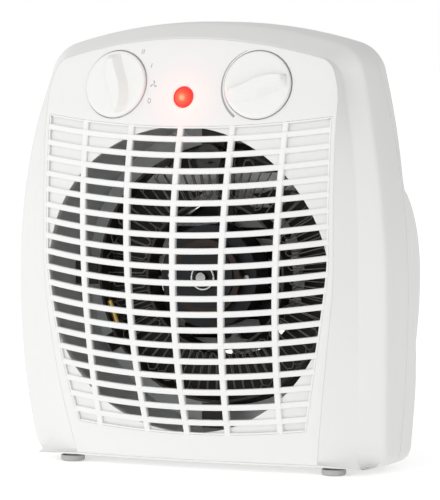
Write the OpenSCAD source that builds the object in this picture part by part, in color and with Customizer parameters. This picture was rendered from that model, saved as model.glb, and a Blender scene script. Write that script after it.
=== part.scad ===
// Upright fan heater: a domed front grille and control panel in a rounded two-part casing.
// Z is up, the front faces -Y and the origin is the middle of the footprint, on the floor.

/* [Casing] */
// Overall width across the side walls
body_w = 234; // [210:2:280]
// Overall height, feet included
body_h = 257; // [235:1:300]
// Overall depth, from the crest of the grille to the rear hump
body_d = 131; // [124:1:160]
// Wall thickness of the mouldings
wall = 2.2; // [1.8:0.1:3]
// Height of the visible part of the feet
foot_h = 3.5; // [3:0.5:8]
// Foot diameter
foot_d = 14; // [11:0.5:18]

/* [Front] */
// How far the crest of the grille stands forward of the front edges
pillow = 28; // [22:1:31]
// Height of the control panel above the grille
panel_h = 59.5; // [56:0.5:70]
// Diameter of the round air outlet behind the grille
outlet_d = 177; // [140:1:180]
// Rows of slots in the grille
slot_rows = 20; // [12:1:22]
// Height of one grille slat
slat_h = 3.4; // [2.4:0.2:4]
// Width of an upright grille bar
bar_w = 3.6; // [2.4:0.2:4.4]

/* [Controls] */
// Diameter of both knobs
knob_d = 39; // [30:1:44]
// Distance between the knobs' axes
knob_gap = 88; // [80:1:110]
// Height of a knob's disc above the panel
knob_t = 1.4; // [1:0.2:6]
// Diameter of the switch and thermostat shafts
shaft_d = 6; // [5:0.5:8]
// Diameter of the pilot lamp's lens
lamp_d = 11.8; // [8:0.2:14]

/* [Fan and motor] */
// Gap between the fan's blade tips and the shroud
tip_gap = 2; // [1:0.5:5]
// Number of fan blades
blades = 5; // [3:1:9]
// Diameter of the motor's stator
stator_d = 60; // [50:1:68]
// Diameter of the motor shaft
motor_shaft_d = 6; // [4:0.5:8]

/* [Hidden] */

half_w = body_w / 2;
half_h = body_h / 2;
// Y of the front edges' datum plane: the crest is at -body_d / 2 and the hump at +body_d / 2
datum_y = pillow - body_d / 2;
hump_y = body_d - pillow;
run_fit = 0.05;
slip = 0.3;
fine = 48;

// Front-view outline: side arcs, crown arc and the corners between them
widest_z = 0.4 * body_h;
crown_r = 1.3 * body_w;
corner_r = 0.1 * body_w;
base_r = 10;
upper_side_r = half_h * half_h / 36;
lower_side_r = half_h * half_h / 18;

// Front openings
field_top = body_h - panel_h;
field_bottom = foot_h + 18;
field_w = 0.376 * body_w;
panel_w = field_w + 2;
slat_arc_r = 2.63 * body_w;
fan_z = (field_top + field_bottom) / 2 + 0.3;
outlet_r = min(outlet_d / 2, field_w - 0.4, (field_top - field_bottom) / 2 - 0.4);
seam_y = 40;
pocket = 4.5;
slat_t = 3.2;

// Controls
knob_z = body_h - 36;
lamp_z = body_h - 43;
knob_pitch = atan(dome_y(knob_gap / 2, knob_z + 0.5) - dome_y(knob_gap / 2, knob_z - 0.5));
knob_yaw = atan(dome_y(knob_gap / 2 + 0.5, knob_z) - dome_y(knob_gap / 2 - 0.5, knob_z));
seat_sink = 2.5;
knob_ridge = 3.6;

// Air path, measured back from the datum plane
duct_r = outlet_r + 1.4;
duct_front = 6;
cap_y = 14;
stator_y = 24;
stator_l = 18;
bracket_y = 48.3;
duct_rear = bracket_y + 2.7;
throat_r = 0.88 * outlet_r;
fan_y = 55;
fan_l = 16;
element_y = 32;
hub_ring_r = 0.5 * outlet_r;
rim_ring_r = 0.83 * outlet_r;
motor_r = motor_shaft_d / 2;

// ---- Curves of the casing ----

// Y of the front edges and of the crest of the dome at height z
function dome_edge(z) = z > field_top
  ? dome_edge(field_top) + 0.22 * (z - field_top)
  : -9 + 15.5 * pow((z - 0.53 * body_h) / half_h, 2);
function dome_crest(z) = z > field_top
  ? dome_crest(field_top) + 0.24 * (z - field_top)
  : -pillow + 35 * pow((z - 0.47 * body_h) / half_h, 2);
function dome_y(x, z) = dome_edge(z)
  + (dome_crest(z) - dome_edge(z)) * (1 - pow(x / panel_w, 2));

// Half width of the panel and of the slotted field, drawn in towards the foot
function draw_in(z) = pow(max(0.45 * body_h - z, 0) / (0.44 * body_h), 1.3);
function panel_half(z) = panel_w - 0.066 * body_w * draw_in(z);
function field_half(z) = field_w - 0.09 * body_w * draw_in(z);
function slat_rise(x) = x * x / (2 * slat_arc_r);

function arc(cx, cz, r, a0, a1, n) = [
  for (i = [0:n - 1])
    let (a = a0 + (a1 - a0) * i / n) [cx + r * cos(a), cz + r * sin(a), cos(a), sin(a)]
];
// Centre of a circle of radius r that touches two larger circles a and b from inside
function nest(a, ra, b, rb, r) =
  let (da = ra - r, db = rb - r, dx = b.x - a.x, dz = b.y - a.y, d = norm([dx, dz]),
    along = (da * da - db * db + d * d) / (2 * d), up = sqrt(da * da - along * along))
  [a.x + (along * dx + up * dz) / d, a.y + (along * dz - up * dx) / d];

low_side = [half_w - lower_side_r, widest_z];
high_side = [half_w - upper_side_r, widest_z];
crown = [0, body_h - crown_r];
base_c = [
  low_side.x + sqrt(pow(lower_side_r - base_r, 2) - pow(foot_h + base_r - widest_z, 2)),
  foot_h + base_r
];
corner_c = nest(crown, crown_r, high_side, upper_side_r, corner_r);
base_a = atan2(base_c.y - low_side.y, base_c.x - low_side.x);
side_a = atan2(corner_c.y - high_side.y, corner_c.x - high_side.x);
crown_a = atan2(corner_c.y - crown.y, corner_c.x - crown.x);

// Right half of the outline as [x, z, normal x, normal z], from the middle of the base to the crown
right_half = concat(
  [[0, foot_h, 0, -1], [half_w / 2, foot_h, 0, -1]],
  arc(base_c.x, base_c.y, base_r, -90, base_a, 4),
  arc(low_side.x, low_side.y, lower_side_r, base_a, 0, 5),
  arc(high_side.x, high_side.y, upper_side_r, 0, side_a, 6),
  arc(corner_c.x, corner_c.y, corner_r, side_a, crown_a, 6),
  arc(crown.x, crown.y, crown_r, crown_a, 90, 4)
);
last = len(right_half) - 1;
outline = concat(
  right_half,
  [[0, body_h, 0, 1]],
  [for (i = [last:-1:1]) let (p = right_half[i]) [-p[0], p[1], -p[2], p[3]]]
);

function inset(p, side, top, base) =
  [p[0] - side * p[2], p[1] - (p[3] > 0 ? top : base) * p[3]];
// The crease round the front, and the edge of the panel opening just inside it
function brow(z) = 16 - 4 * min(max((z / body_h - 0.43) / 0.32, 0), 1);
function crease(p, in = 0) = inset(p, brow(p[1]) + in, 9 + 0.8 * in, 1.2 + in);
function mouth(p, in = 0) =
  let (c = crease(p), z = c.y - (0.8 + in) * max(p[3], 0) + (1.3 + in) * max(-p[3], 0))
  [sign(c.x) * min(abs(c.x), panel_half(z) + slip - in), z];
function mouth_y(p) = let (m = mouth(p)) dome_y(m.x, m.y);

function ring_at(side, top, base, back) = [
  for (p = outline) let (q = inset(p, side, top, base)) [q.x, mouth_y(p) + back, q.y]
];
function mouth_ring(in, back) = [
  for (p = outline) let (m = mouth(p, in)) [m.x, mouth_y(p) + back, m.y]
];
function crease_ring(in, back) = [
  for (p = outline)
    let (q = crease(p, in))
    [q.x, mouth_y(p) + 0.6 + 10 * p[2] * p[2] + back, q.y]
];
function flat_ring(in, y) = [for (p = outline) let (q = inset(p, in, in, in)) [q.x, y, q.y]];

// Rear wall: leans back above the hump's top, and is deeper at the base
hump_top = 0.65 * body_h;
hump_foot = 0.14 * body_h;
waist_y = 52.5;
function rear_y(z) = waist_y + 0.115 * max(z - hump_top, 0) + 14.5 * min(max((hump_top - z) / (0.46 * body_h), 0), 1);
rear_round = 12;
function rear_ring(in, a) = [
  for (p = outline)
    let (r = rear_round - in, q = inset(p, in + r * (1 - cos(a)), in + r * (1 - cos(a)), in))
    [q.x, rear_y(p[1]) - rear_round + r * sin(a), q.y]
];

// Depth of the hump at height z, between its foot and its shoulder
function bulge(t) = sqrt(1 - pow(min(abs(t), 1), 2));
function hump_depth(z) = z > fan_z
  ? waist_y + (hump_y - waist_y) * bulge((z - fan_z) / (hump_top - fan_z))
  : 60 + (hump_y - 60) * bulge((fan_z - z) / (fan_z - hump_foot));

// ---- Builders ----

module placed() translate([0, datum_y, 0]) children();

// Closed skin over equal rings: capped at both ends, or joined end to end
module skin(rings, joined = false) {
  n = len(rings[0]);
  m = len(rings);
  caps = joined ? [] : [for (r = [rings[0], rings[m - 1]]) [for (k = [0:2]) (max([for (p = r) p[k]]) + min([for (p = r) p[k]])) / 2]];
  walls = [
    for (i = [0:(joined ? m - 1 : m - 2)], j = [0:n - 1])
      let (a = i * n + j, b = i * n + (j + 1) % n, k = (i + 1) % m, c = k * n + (j + 1) % n, d = k * n + j)
      each [[a, b, c], [a, c, d]]
  ];
  ends = joined ? [] : [
    for (j = [0:n - 1])
      let (k = (j + 1) % n) each [[m * n, k, j], [m * n + 1, (m - 1) * n + j, (m - 1) * n + k]]
  ];
  polyhedron(points = concat([for (r = rings) each r], caps), faces = concat(walls, ends), convexity = 8);
}

// Slab that follows the dome, between two depths behind its surface
module dome_slab(front, back) {
  nx = 10;
  nz = 14;
  x_max = panel_w + 8;
  function spot(i, j, d) =
    let (x = x_max * (2 * i / nx - 1), z = body_h * j / nz) [x, dome_y(x, z) + d, z];
  function at(i, j) = i * (nz + 1) + j;
  count = (nx + 1) * (nz + 1);
  rim = concat(
    [for (i = [0:nx - 1]) at(i, 0)], [for (j = [0:nz - 1]) at(nx, j)],
    [for (i = [nx:-1:1]) at(i, nz)], [for (j = [nz:-1:1]) at(0, j)]
  );
  polyhedron(
    points = [for (d = [front, back], i = [0:nx], j = [0:nz]) spot(i, j, d)],
    faces = concat(
      [for (i = [0:nx - 1], j = [0:nz - 1])
        let (a = at(i, j), b = at(i, j + 1), c = at(i + 1, j + 1), d = at(i + 1, j))
        each [[a, b, c], [a, c, d], [count + c, count + b, count + a], [count + d, count + c, count + a]]],
      [for (k = [0:len(rim) - 1])
        let (p = rim[k], q = rim[(k + 1) % len(rim)])
        each [[p, q, count + q], [p, count + q, count + p]]]
    ),
    convexity = 8
  );
}

// Front-view profile pushed through the whole front
module through() translate([0, 60, 0]) rotate([90, 0, 0]) linear_extrude(120) children();

module panel_outline(gap) offset(delta = -gap) polygon([for (p = outline) mouth(p)]);

function field_edge() = [for (i = [0:12]) let (z = field_bottom + (field_top - field_bottom) * i / 12) [field_half(z), z]];
module field_outline(gap) {
  edge = [for (p = field_edge()) [p.x, p.y + slat_rise(p.x)]];
  top = [for (x = [3:-1:-3]) [x * field_w / 4, field_top + slat_rise(x * field_w / 4)]];
  base = [for (x = [-3:3]) let (w = field_half(field_bottom) / 4) [x * w, field_bottom + slat_rise(x * w)]];
  offset(delta = -gap)
    polygon(concat(edge, top, [for (i = [12:-1:0]) [-edge[i].x, edge[i].y]], base));
}

// Moves and turns children so that +Z is the outward axis of the knob on one side
module at_knob(side)
  translate([side * knob_gap / 2, dome_y(knob_gap / 2, knob_z), knob_z])
    rotate([90 - knob_pitch, 0, side * knob_yaw]) children();
module at_lamp() translate([0, dome_y(0, lamp_z), lamp_z]) rotate([90 - knob_pitch, 0, 0]) children();
// Moves children so that +Z runs back along the fan's axis from depth y
module at_fan(y) translate([0, y, fan_z]) rotate([-90, 0, 0]) children();
// Copies of children at the duct's screw lugs
module at_lugs(y) for (a = lug_angles) at_fan(y) rotate([0, 0, a]) translate([duct_r + 5, 0, 0]) children();
module tube(r_out, r_in, l) difference() {
  cylinder(r = r_out, h = l, $fn = fine);
  translate([0, 0, -1]) cylinder(r = r_in, h = l + 2, $fn = fine);
}

// Wire along a list of points; each loop's reference direction is carried on from the last one
module wire(path, r, sides = 6) {
  steps = len(path) - 1;
  function unit(v) = v / norm(v);
  function dir(i) = unit(path[min(i + 1, steps)] - path[max(i - 1, 0)]);
  function across(u, t) = unit(u - t * (u * t));
  function carry(i) = i == 0 ? across([0.31, 0.87, 0.38], dir(0)) : across(carry(i - 1), dir(i));
  skin([
    for (i = [0:steps])
      let (t = dir(i), u = carry(i), v = cross(t, u))
      [for (k = [0:sides - 1]) path[i] + r * (u * cos(360 * k / sides) - v * sin(360 * k / sides))]
  ]);
}

// ---- Casings ----

boss_r = 5;
boss_low = [0.415 * body_w, foot_h + 22];
boss_high = [0.356 * body_w, body_h - 33];
bosses = [for (b = [boss_low, boss_high], s = [-1, 1]) [s * b.x, b.y]];
module along_y(x, y, z) translate([x, y, z]) rotate([-90, 0, 0]) children();
foot_x = 0.352 * body_w;
front_foot_y = 13;
rear_foot_y = 54;
stem_r = foot_d / 2 - 3.8;
function side_at(z) = z > widest_z
  ? high_side.x + sqrt(upper_side_r * upper_side_r - pow(z - widest_z, 2))
  : low_side.x + sqrt(lower_side_r * lower_side_r - pow(z - widest_z, 2));

// Two webs tie a boss to the side wall and to the top or the base
module boss_webs(b, y, l) {
  side = side_at(b.y) - wall / 2 - 0.4;
  level = b.y < fan_z ? foot_h + wall / 2 + 0.3 : crown.y + sqrt(crown_r * crown_r - b.x * b.x) - 4;
  hull() for (x = [b.x, sign(b.x) * side]) along_y(x, y, b.y) cylinder(r = 1, h = l, $fn = 8);
  hull() for (z = [b.y, level]) along_y(b.x, y, z) cylinder(r = 1, h = l, $fn = 8);
}
module front_casing() placed() color("white") difference() {
  union() {
    skin([
      mouth_ring(0, 0), crease_ring(0, 0), ring_at(1.5, 1, 0.4, 18), ring_at(0, 0, 0, 28), flat_ring(0, seam_y),
      flat_ring(wall, seam_y), ring_at(wall, wall, wall, 28), ring_at(1.5 + wall, 1 + wall, 0.4 + wall, 19.5),
      crease_ring(0.2, 2.6), mouth_ring(0, wall)
    ], joined = true);
    for (b = bosses) {
      along_y(b.x, 24, b.y) cylinder(r = boss_r - 0.5, h = seam_y - 24.3, $fn = 24);
      boss_webs(b, 28, seam_y - 28.6);
    }
  }
  for (b = bosses) along_y(b.x, 27, b.y) cylinder(r = 1.6, h = 20, $fn = 16);
  for (s = [-1, 1]) translate([s * foot_x, front_foot_y, 0]) cylinder(r = stem_r + 0.1, h = foot_h + wall + 1, $fn = 24);
}

// Hump of the rear casing, drawn in by one wall for its hollow
module hump(in) {
  steps = 12;
  w = 0.455 * body_w - in;
  r = 18 - in;
  intersection() {
    translate([-body_w, seam_y + 1, 0]) cube([2 * body_w, body_d, body_h]);
    hull() for (i = [0:steps]) {
      full_z = hump_foot + (hump_top - hump_foot) * i / steps;
      z = full_z + in * (1 - 2 * i / steps);
      for (s = [-1, 1]) translate([s * (w - r), hump_depth(full_z) - in - r, z])
        cylinder(r = r, h = 0.2, $fn = 24);
    }
  }
}
module rear_block(in, front) skin([
  flat_ring(in, front), rear_ring(in, 0), rear_ring(in, 22), rear_ring(in, 45), rear_ring(in, 68), rear_ring(in, 90)
]);

intake_r = outlet_r - 6;
intake_pitch = 12;
intake_h = 6.4;
module intake_slots() {
  above = floor((hump_top - fan_z - 6) / intake_pitch);
  below = floor((fan_z - hump_foot - 12) / intake_pitch);
  for (i = [-below:above]) {
    z = i * intake_pitch;
    w = sqrt(intake_r * intake_r - z * z);
    // Three uprights tie the slats together
    for (c = [-1.5:1:1.5]) {
      lo = max(c * intake_r / 2 - intake_r / 4 + 1.8, -w);
      hi = min(c * intake_r / 2 + intake_r / 4 - 1.8, w);
      if (hi - lo > intake_h + 2) hull() for (x = [lo + intake_h / 2, hi - intake_h / 2])
        along_y(x, 70, fan_z + z) cylinder(d = intake_h, h = 50, $fn = 8);
    }
  }
}
gland_x = 0.3 * body_w;
gland_z = foot_h + 19;
gland_r = 6;
module rear_casing() placed() color("white") difference() {
  union() {
    difference() {
      union() {
        rear_block(0, seam_y);
        hump(0);
      }
      rear_block(wall, seam_y - 1);
      hump(wall);
    }
    for (b = bosses) {
      along_y(b.x, seam_y, b.y) cylinder(r = boss_r, h = rear_y(b.y) - seam_y - 1, $fn = 24);
      boss_webs(b, seam_y, 8);
    }
  }
  intake_slots();
  for (b = bosses) {
    along_y(b.x, seam_y - 1, b.y) cylinder(r = 2.1, h = 40, $fn = 24);
    along_y(b.x, seam_y + 8, b.y) cylinder(r = 4, h = 40, $fn = 24);
  }
  along_y(gland_x, 50, gland_z) cylinder(r = gland_r + 0.1, h = 30, $fn = 32);
  for (s = [-1, 1]) translate([s * foot_x, rear_foot_y, 0]) cylinder(r = stem_r + 0.1, h = foot_h + wall + 1, $fn = 24);
}

// ---- Front panel and grille ----

module front_panel() placed() color("white") difference() {
  union() {
    difference() {
      intersection() {
        dome_slab(0, pocket + wall);
        through() panel_outline(slip);
      }
      intersection() {
        dome_slab(-5, pocket);
        through() field_outline(0);
      }
      intersection() {
        dome_slab(wall + 0.2, 20);
        through() difference() {
          panel_outline(slip + wall);
          translate([-body_w, 0]) square([2 * body_w, field_top + slat_rise(field_w) + wall]);
        }
      }
      intersection() {
        dome_slab(wall + 0.2, 20);
        through() intersection() {
          panel_outline(slip + wall);
          translate([-body_w, 0]) square([2 * body_w, field_bottom - wall]);
        }
      }
    }
    // Collar that the duct nests in, with bosses for its screws
    intersection() {
      union() {
        at_fan(-20) tube(duct_r + 1.4 + wall, duct_r + 1.4, duct_front + 20);
        at_lugs(-20) cylinder(r = 3, h = duct_front + 20, $fn = fine);
      }
      dome_slab(pocket + 0.4, 60);
    }
  }
  at_lugs(duct_front - 5) cylinder(r = 1.6, h = 20, $fn = fine);
  at_fan(-60) cylinder(r = outlet_r, h = 100, $fn = 96);
  for (s = [-1, 1]) at_knob(s) {
    translate([0, 0, -seat_sink]) cylinder(d = knob_d + 1, h = 10, $fn = 64);
    translate([0, 0, -10]) cylinder(d = shaft_d + 1.2, h = 20, $fn = fine);
  }
  at_lamp() translate([0, 0, -10]) cylinder(d = lamp_d + 0.2, h = 20, $fn = fine);
}

// Uprights of the grille lean in towards the foot
function bar_x(k, z) =
  let (t = max((field_top - z) / (field_top - field_bottom), 0))
  sign(k) * (abs(k) == 2 ? 0.2653 * body_w - 5.8 * t : abs(k) * (0.134 * body_w - 6.4 * pow(t, 1.3)));
row_pitch = (field_top - field_bottom + slat_h) / slot_rows;
rim_w = 1.2;
// Edge c of the slot columns: the field's own edges at -3 and 3, the uprights between
function column_x(c, z, side) = abs(c) == 3
  ? sign(c) * (field_half(z) - rim_w)
  : bar_x(c, z) + side * bar_w / 2;
module slots() for (r = [0:slot_rows - 1], c = [-3:2]) {
  z = field_bottom + r * row_pitch + (r == 0 ? rim_w : 0);
  h = row_pitch - slat_h - (r == 0 || r == slot_rows - 1 ? rim_w : 0);
  lo = [for (k = [0, 1]) column_x(c, z + k * h, 1)];
  hi = [for (k = [0, 1]) column_x(c + 1, z + k * h, -1)];
  hull() polygon([
    [lo[0], z + slat_rise(lo[0])], [hi[0], z + slat_rise(hi[0])],
    [hi[1], z + h + slat_rise(hi[1])], [lo[1], z + h + slat_rise(lo[1])]
  ]);
}
module front_grille() placed() color("white") intersection() {
  dome_slab(0, slat_t);
  through() difference() {
    field_outline(slip / 2);
    slots();
  }
}

// ---- Duct, feet, screws ----

// Duct with a flange on the panel's collar and a lip at its rear end
module air_duct() placed() color("gray") difference() {
  union() {
    at_fan(-20) cylinder(r = duct_r + 1.2, h = duct_rear + 20, $fn = 96);
    at_fan(duct_front + 0.1) cylinder(r = duct_r + 5, h = 1.5, $fn = 96);
    at_lugs(duct_front + 0.1) cylinder(r = 4, h = 1.5, $fn = fine);
  }
  at_fan(-60) cylinder(r = duct_r, h = duct_rear + 60 - 1.2, $fn = 96);
  at_fan(0) cylinder(r = throat_r, h = 100, $fn = 96);
  at_lugs(0) cylinder(r = 1.7, h = 20, $fn = fine);
  dome_slab(-40, pocket + wall + 0.3);
}
lug_angles = [45, 135, 225, 315];

shroud_r = min(0.6 * outlet_r, hump_top - fan_z - 8.8);
module fan_shroud() placed() color("black") {
  at_fan(duct_rear + 0.1) tube(throat_r + 3, shroud_r, 1.5);
  at_fan(duct_rear + 0.1) tube(shroud_r + 1.6, shroud_r, 12);
}

module foot(x, y) placed() color("dimgray") translate([x, y, 0]) {
  cylinder(d1 = foot_d - 1.6, d2 = foot_d, h = 1, $fn = fine);
  translate([0, 0, 1]) cylinder(d = foot_d, h = foot_h - 1, $fn = fine);
  cylinder(r = stem_r, h = foot_h + wall + 0.3, $fn = fine);
}
module foot_front_left() foot(-foot_x, front_foot_y);
module foot_front_right() foot(foot_x, front_foot_y);
module foot_rear_left() foot(-foot_x, rear_foot_y);
module foot_rear_right() foot(foot_x, rear_foot_y);

// Pan-head screw: the head's underside is at z = 0 and the thread runs down
module screw(r, l, head_r, head_h) difference() {
  union() {
    translate([0, 0, -l]) cylinder(r = r, h = l + 0.1, $fn = fine);
    cylinder(r = head_r, h = head_h, $fn = fine);
  }
  for (a = [0, 90]) rotate([0, 0, a]) translate([-head_r * 0.6, -0.4, head_h - 1]) cube([head_r * 1.2, 0.8, 2]);
}
module casing_screws() placed() color("silver")
  for (b = bosses) along_y(b.x, seam_y + 8, b.y) screw(1.5, 17, 3.5, 2.4);
module duct_screws() placed() color("silver") at_lugs(duct_front + 1.6) screw(1.5, 5, 3, 1.8);

// ---- Controls ----

// Tapered S-shaped finger ridge, in a circle of radius 1
ridge_spots = [[-0.05, 0.86, 0.09], [-0.06, 0.45, 0.15], [0.02, 0, 0.2], [0.1, -0.45, 0.13], [0.06, -0.84, 0.05]];
module ridge(turn) rotate([0, 0, turn]) for (i = [0:3])
  hull() for (p = [ridge_spots[i], ridge_spots[i + 1]])
    translate([p.x * knob_d / 2, p.y * knob_d / 2, knob_t - 0.3])
      cylinder(r1 = p.z * knob_d / 2 + 1.6, r2 = p.z * knob_d / 2, h = knob_ridge + 0.3, $fn = 16);
module knob(turn) difference() {
  union() {
    translate([0, 0, -seat_sink + 0.35]) cylinder(d = knob_d, h = knob_t + seat_sink - 1.35, $fn = 96);
    translate([0, 0, knob_t - 1]) cylinder(d1 = knob_d, d2 = knob_d - 2, h = 1, $fn = 96);
    ridge(turn);
  }
  translate([0, 0, -seat_sink - 1]) cylinder(d = shaft_d + 0.04, h = seat_sink + knob_t - 0.5, $fn = fine);
}
switch_turn = 10;
thermostat_turn = -80;
module switch_knob() placed() color("white") at_knob(-1) knob(switch_turn);
module thermostat_knob() placed() color("white") at_knob(1) knob(thermostat_turn);
shaft_l = knob_t - 1.8 + 17;
module control_shaft() translate([0, 0, knob_t - 1.8 - shaft_l]) cylinder(d = shaft_d, h = shaft_l, $fn = fine);
module switch_shaft() placed() color("silver") at_knob(-1) control_shaft();
module thermostat_shaft() placed() color("silver") at_knob(1) control_shaft();

control_back = -pocket - 1;
module control_body(w, h, d) difference() {
  union() {
    translate([-w / 2, -h / 2, control_back - 4 - d]) cube([w, h, d]);
    translate([0, 0, control_back - 4.1]) cylinder(d = shaft_d + 5, h = 4.1 + pocket - wall, $fn = fine);
  }
  translate([0, 0, knob_t - 1.8 - shaft_l - 1]) cylinder(r = shaft_d / 2 + run_fit, h = shaft_l + 10, $fn = fine);
}
module rotary_switch() placed() color("ivory") at_knob(-1) {
  control_body(26, 24, 15);
  for (x = [-8, 0, 8]) translate([x - 2.4, 4, control_back - 25]) cube([4.8, 0.8, 6.2]);
}
module thermostat() placed() color("gainsboro") at_knob(1) {
  control_body(22, 26, 11);
  for (y = [-8, 8]) translate([-12, y - 2.4, control_back - 14]) cube([6, 4.8, 0.8]);
}
module bimetal_strip() placed() color("goldenrod") at_knob(1)
  translate([-4, -11, control_back - 16.2]) cube([8, 22, 1]);
module lamp_lens() placed() color("red") at_lamp() {
  translate([0, 0, -wall]) cylinder(d = lamp_d, h = wall + 1, $fn = fine);
  translate([0, 0, 1]) intersection() {
    translate([0, 0, -lamp_d * 0.55]) sphere(d = lamp_d * 1.4, $fn = fine);
    cylinder(d = lamp_d, h = 4, $fn = fine);
  }
}
module lamp_holder() placed() color("whitesmoke") at_lamp() {
  translate([0, 0, -wall - 14]) cylinder(d = lamp_d - 2, h = 14, $fn = fine);
  translate([0, 0, -wall - 2.1]) cylinder(d = lamp_d + 1.4, h = 1.5, $fn = fine);
}

// ---- Heating element ----

wire_r = 0.5;
hairpins = 36;
// Zigzag wire that runs out and back between the two rings
function zigzag(y) = [
  for (i = [0:2 * hairpins - 1], k = [0, 1])
    let (a = 360 * i / (2 * hairpins) + 1.2 * k, r = (i + k) % 2 == 1 ? rim_ring_r - 1.6 : hub_ring_r + 1.6)
    [r * cos(a), y, fan_z + r * sin(a)]
];
module zigzag_wire(y) {
  path = zigzag(y);
  n = len(path);
  skin([
    for (i = [0:n - 1])
      let (p = path[(i + n - 1) % n], q = path[(i + 1) % n], t = (q - p) / norm(q - p), u = cross(t, [0, 1, 0]))
      [for (k = [0:3]) path[i] + wire_r * (u * cos(90 * k) - [0, 1, 0] * sin(90 * k))]
  ], joined = true);
}
module heating_wire_low() placed() color("silver") zigzag_wire(element_y + 3);
module heating_wire_high() placed() color("silver") zigzag_wire(element_y + 11);
module element_hub_ring() placed() color("tan") at_fan(element_y) tube(hub_ring_r, hub_ring_r - 1.5, 14);
module element_rim_ring() placed() color("tan") at_fan(element_y) tube(rim_ring_r + 1.5, rim_ring_r, 14);
card_angles = [0, 90, 180, 270];
card_half = 7;
module mica_cards() placed() color("tan") for (a = card_angles) at_fan(element_y - 2) rotate([0, 0, a])
  translate([rim_ring_r + 1.5, -card_half, 0])
    cube([sqrt(duct_r * duct_r - card_half * card_half) - 0.1 - rim_ring_r - 1.5, 2 * card_half, 1.2]);
module thermal_cutout() placed() color("silver") at_fan(element_y - 9) rotate([0, 0, -90]) translate([rim_ring_r - 4, 0, 0]) {
  cylinder(r = 8, h = 6, $fn = fine);
  translate([-3, -2.4, -5]) cube([0.8, 4.8, 5.5]);
  translate([3, -2.4, -5]) cube([0.8, 4.8, 5.5]);
}
module thermal_fuse() placed() color("gold") at_fan(element_y - 4) rotate([0, 0, 160]) translate([rim_ring_r - 6, -7, 0])
  rotate([-90, 0, 0]) cylinder(r = 1.9, h = 14, $fn = fine);

// ---- Motor and fan ----

arm_angles = [30, 150, 270];
module motor_bracket() placed() color("silver") at_fan(bracket_y) difference() {
  union() {
    cylinder(r = stator_d / 2 - 2, h = 1.5, $fn = fine);
    for (a = arm_angles) rotate([0, 0, a]) translate([0, -5, 0]) cube([duct_r - 1, 10, 1.4]);
  }
  translate([0, 0, -1]) cylinder(r = bearing_r, h = 4, $fn = fine);
  for (s = [-1, 1]) translate([s * (stator_d / 2 - 6), 0, -1]) cylinder(r = 1.6, h = 4, $fn = fine);
}
bearing_r = motor_r + 3;
rotor_r = stator_d / 2 - 15;
module stator() placed() color("dimgray") at_fan(stator_y) difference() {
  cylinder(d = stator_d, h = stator_l, $fn = 64);
  translate([0, 0, -1]) cylinder(r = rotor_r + 0.4, h = stator_l + 2, $fn = fine);
  for (s = [-1, 1]) translate([s * (stator_d / 2 - 6), 0, -1]) cylinder(r = 1.6, h = stator_l + 2, $fn = fine);
}
module winding(y) placed() color("sienna") at_fan(y) difference() {
  cylinder(r = rotor_r + 7, h = 6, $fn = fine);
  translate([0, 0, -1]) cylinder(r = rotor_r + 1, h = 8, $fn = fine);
}
module front_winding() winding(stator_y - 6);
module rear_winding() winding(stator_y + stator_l);
// Bearing housing: a plate on the winding, with a sleeve that carries the bush
module front_bearing() placed() color("silver") difference() {
  union() {
    at_fan(cap_y) cylinder(r = bearing_r, h = 5, $fn = fine);
    at_fan(cap_y + 2.5) cylinder(r = rotor_r + 6, h = 1.4, $fn = fine);
  }
  at_fan(cap_y - 1) cylinder(r = motor_r + run_fit, h = 10, $fn = fine);
}
module rear_bearing() placed() color("silver") at_fan(bracket_y - 1.5) difference() {
  union() {
    cylinder(r = bearing_r - 0.02, h = 5, $fn = fine);
    cylinder(r = bearing_r + 3, h = 1.4, $fn = fine);
  }
  translate([0, 0, -1]) cylinder(r = motor_r + run_fit, h = 10, $fn = fine);
}
module motor_screws() placed() color("silver") for (s = [-1, 1])
  at_fan(bracket_y + 1.5) translate([s * (stator_d / 2 - 6), 0, 0]) screw(1.5, bracket_y + 1.5 - stator_y + 1, 3, 1.8);
module motor_shaft() placed() color("silver") at_fan(cap_y - 2) cylinder(r = motor_r, h = fan_y + fan_l + 6 - cap_y, $fn = fine);
module rotor() placed() color("gray") at_fan(stator_y - 0.5) tube(rotor_r, motor_r + 0.01, stator_l + 1);

fan_r = shroud_r - tip_gap;
hub_r = 0.3 * fan_r;
// One blade: a twisted strip, wide at the tip and narrow at the hub
module blade() hull() {
  translate([hub_r - 1.5, 0, fan_l / 2]) rotate([0, 90, 0]) rotate([0, 0, -58]) cube([fan_l * 0.9, 1.4, 1], center = true);
  translate([fan_r - 6, 5, fan_l / 2]) rotate([0, 90, 0]) rotate([0, 0, -75]) cube([fan_l * 3.1, 1.4, 1], center = true);
}
module fan() placed() color("black") at_fan(fan_y) difference() {
  union() {
    cylinder(r = hub_r, h = fan_l - 2, $fn = fine);
    intersection() {
      for (i = [0:blades - 1]) rotate([0, 0, 360 * i / blades]) blade();
      cylinder(r = fan_r, h = fan_l, $fn = fine);
    }
  }
  translate([0, 0, -5]) cylinder(r = motor_r + 0.01, h = fan_l + 10, $fn = fine);
}
module fan_nut() placed() color("silver") at_fan(fan_y + fan_l - 1.9) difference() {
  cylinder(r = motor_r + 3, h = 4, $fn = 6);
  translate([0, 0, -1]) cylinder(r = motor_r + 0.01, h = 6, $fn = fine);
}

// ---- Wiring ----

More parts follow.
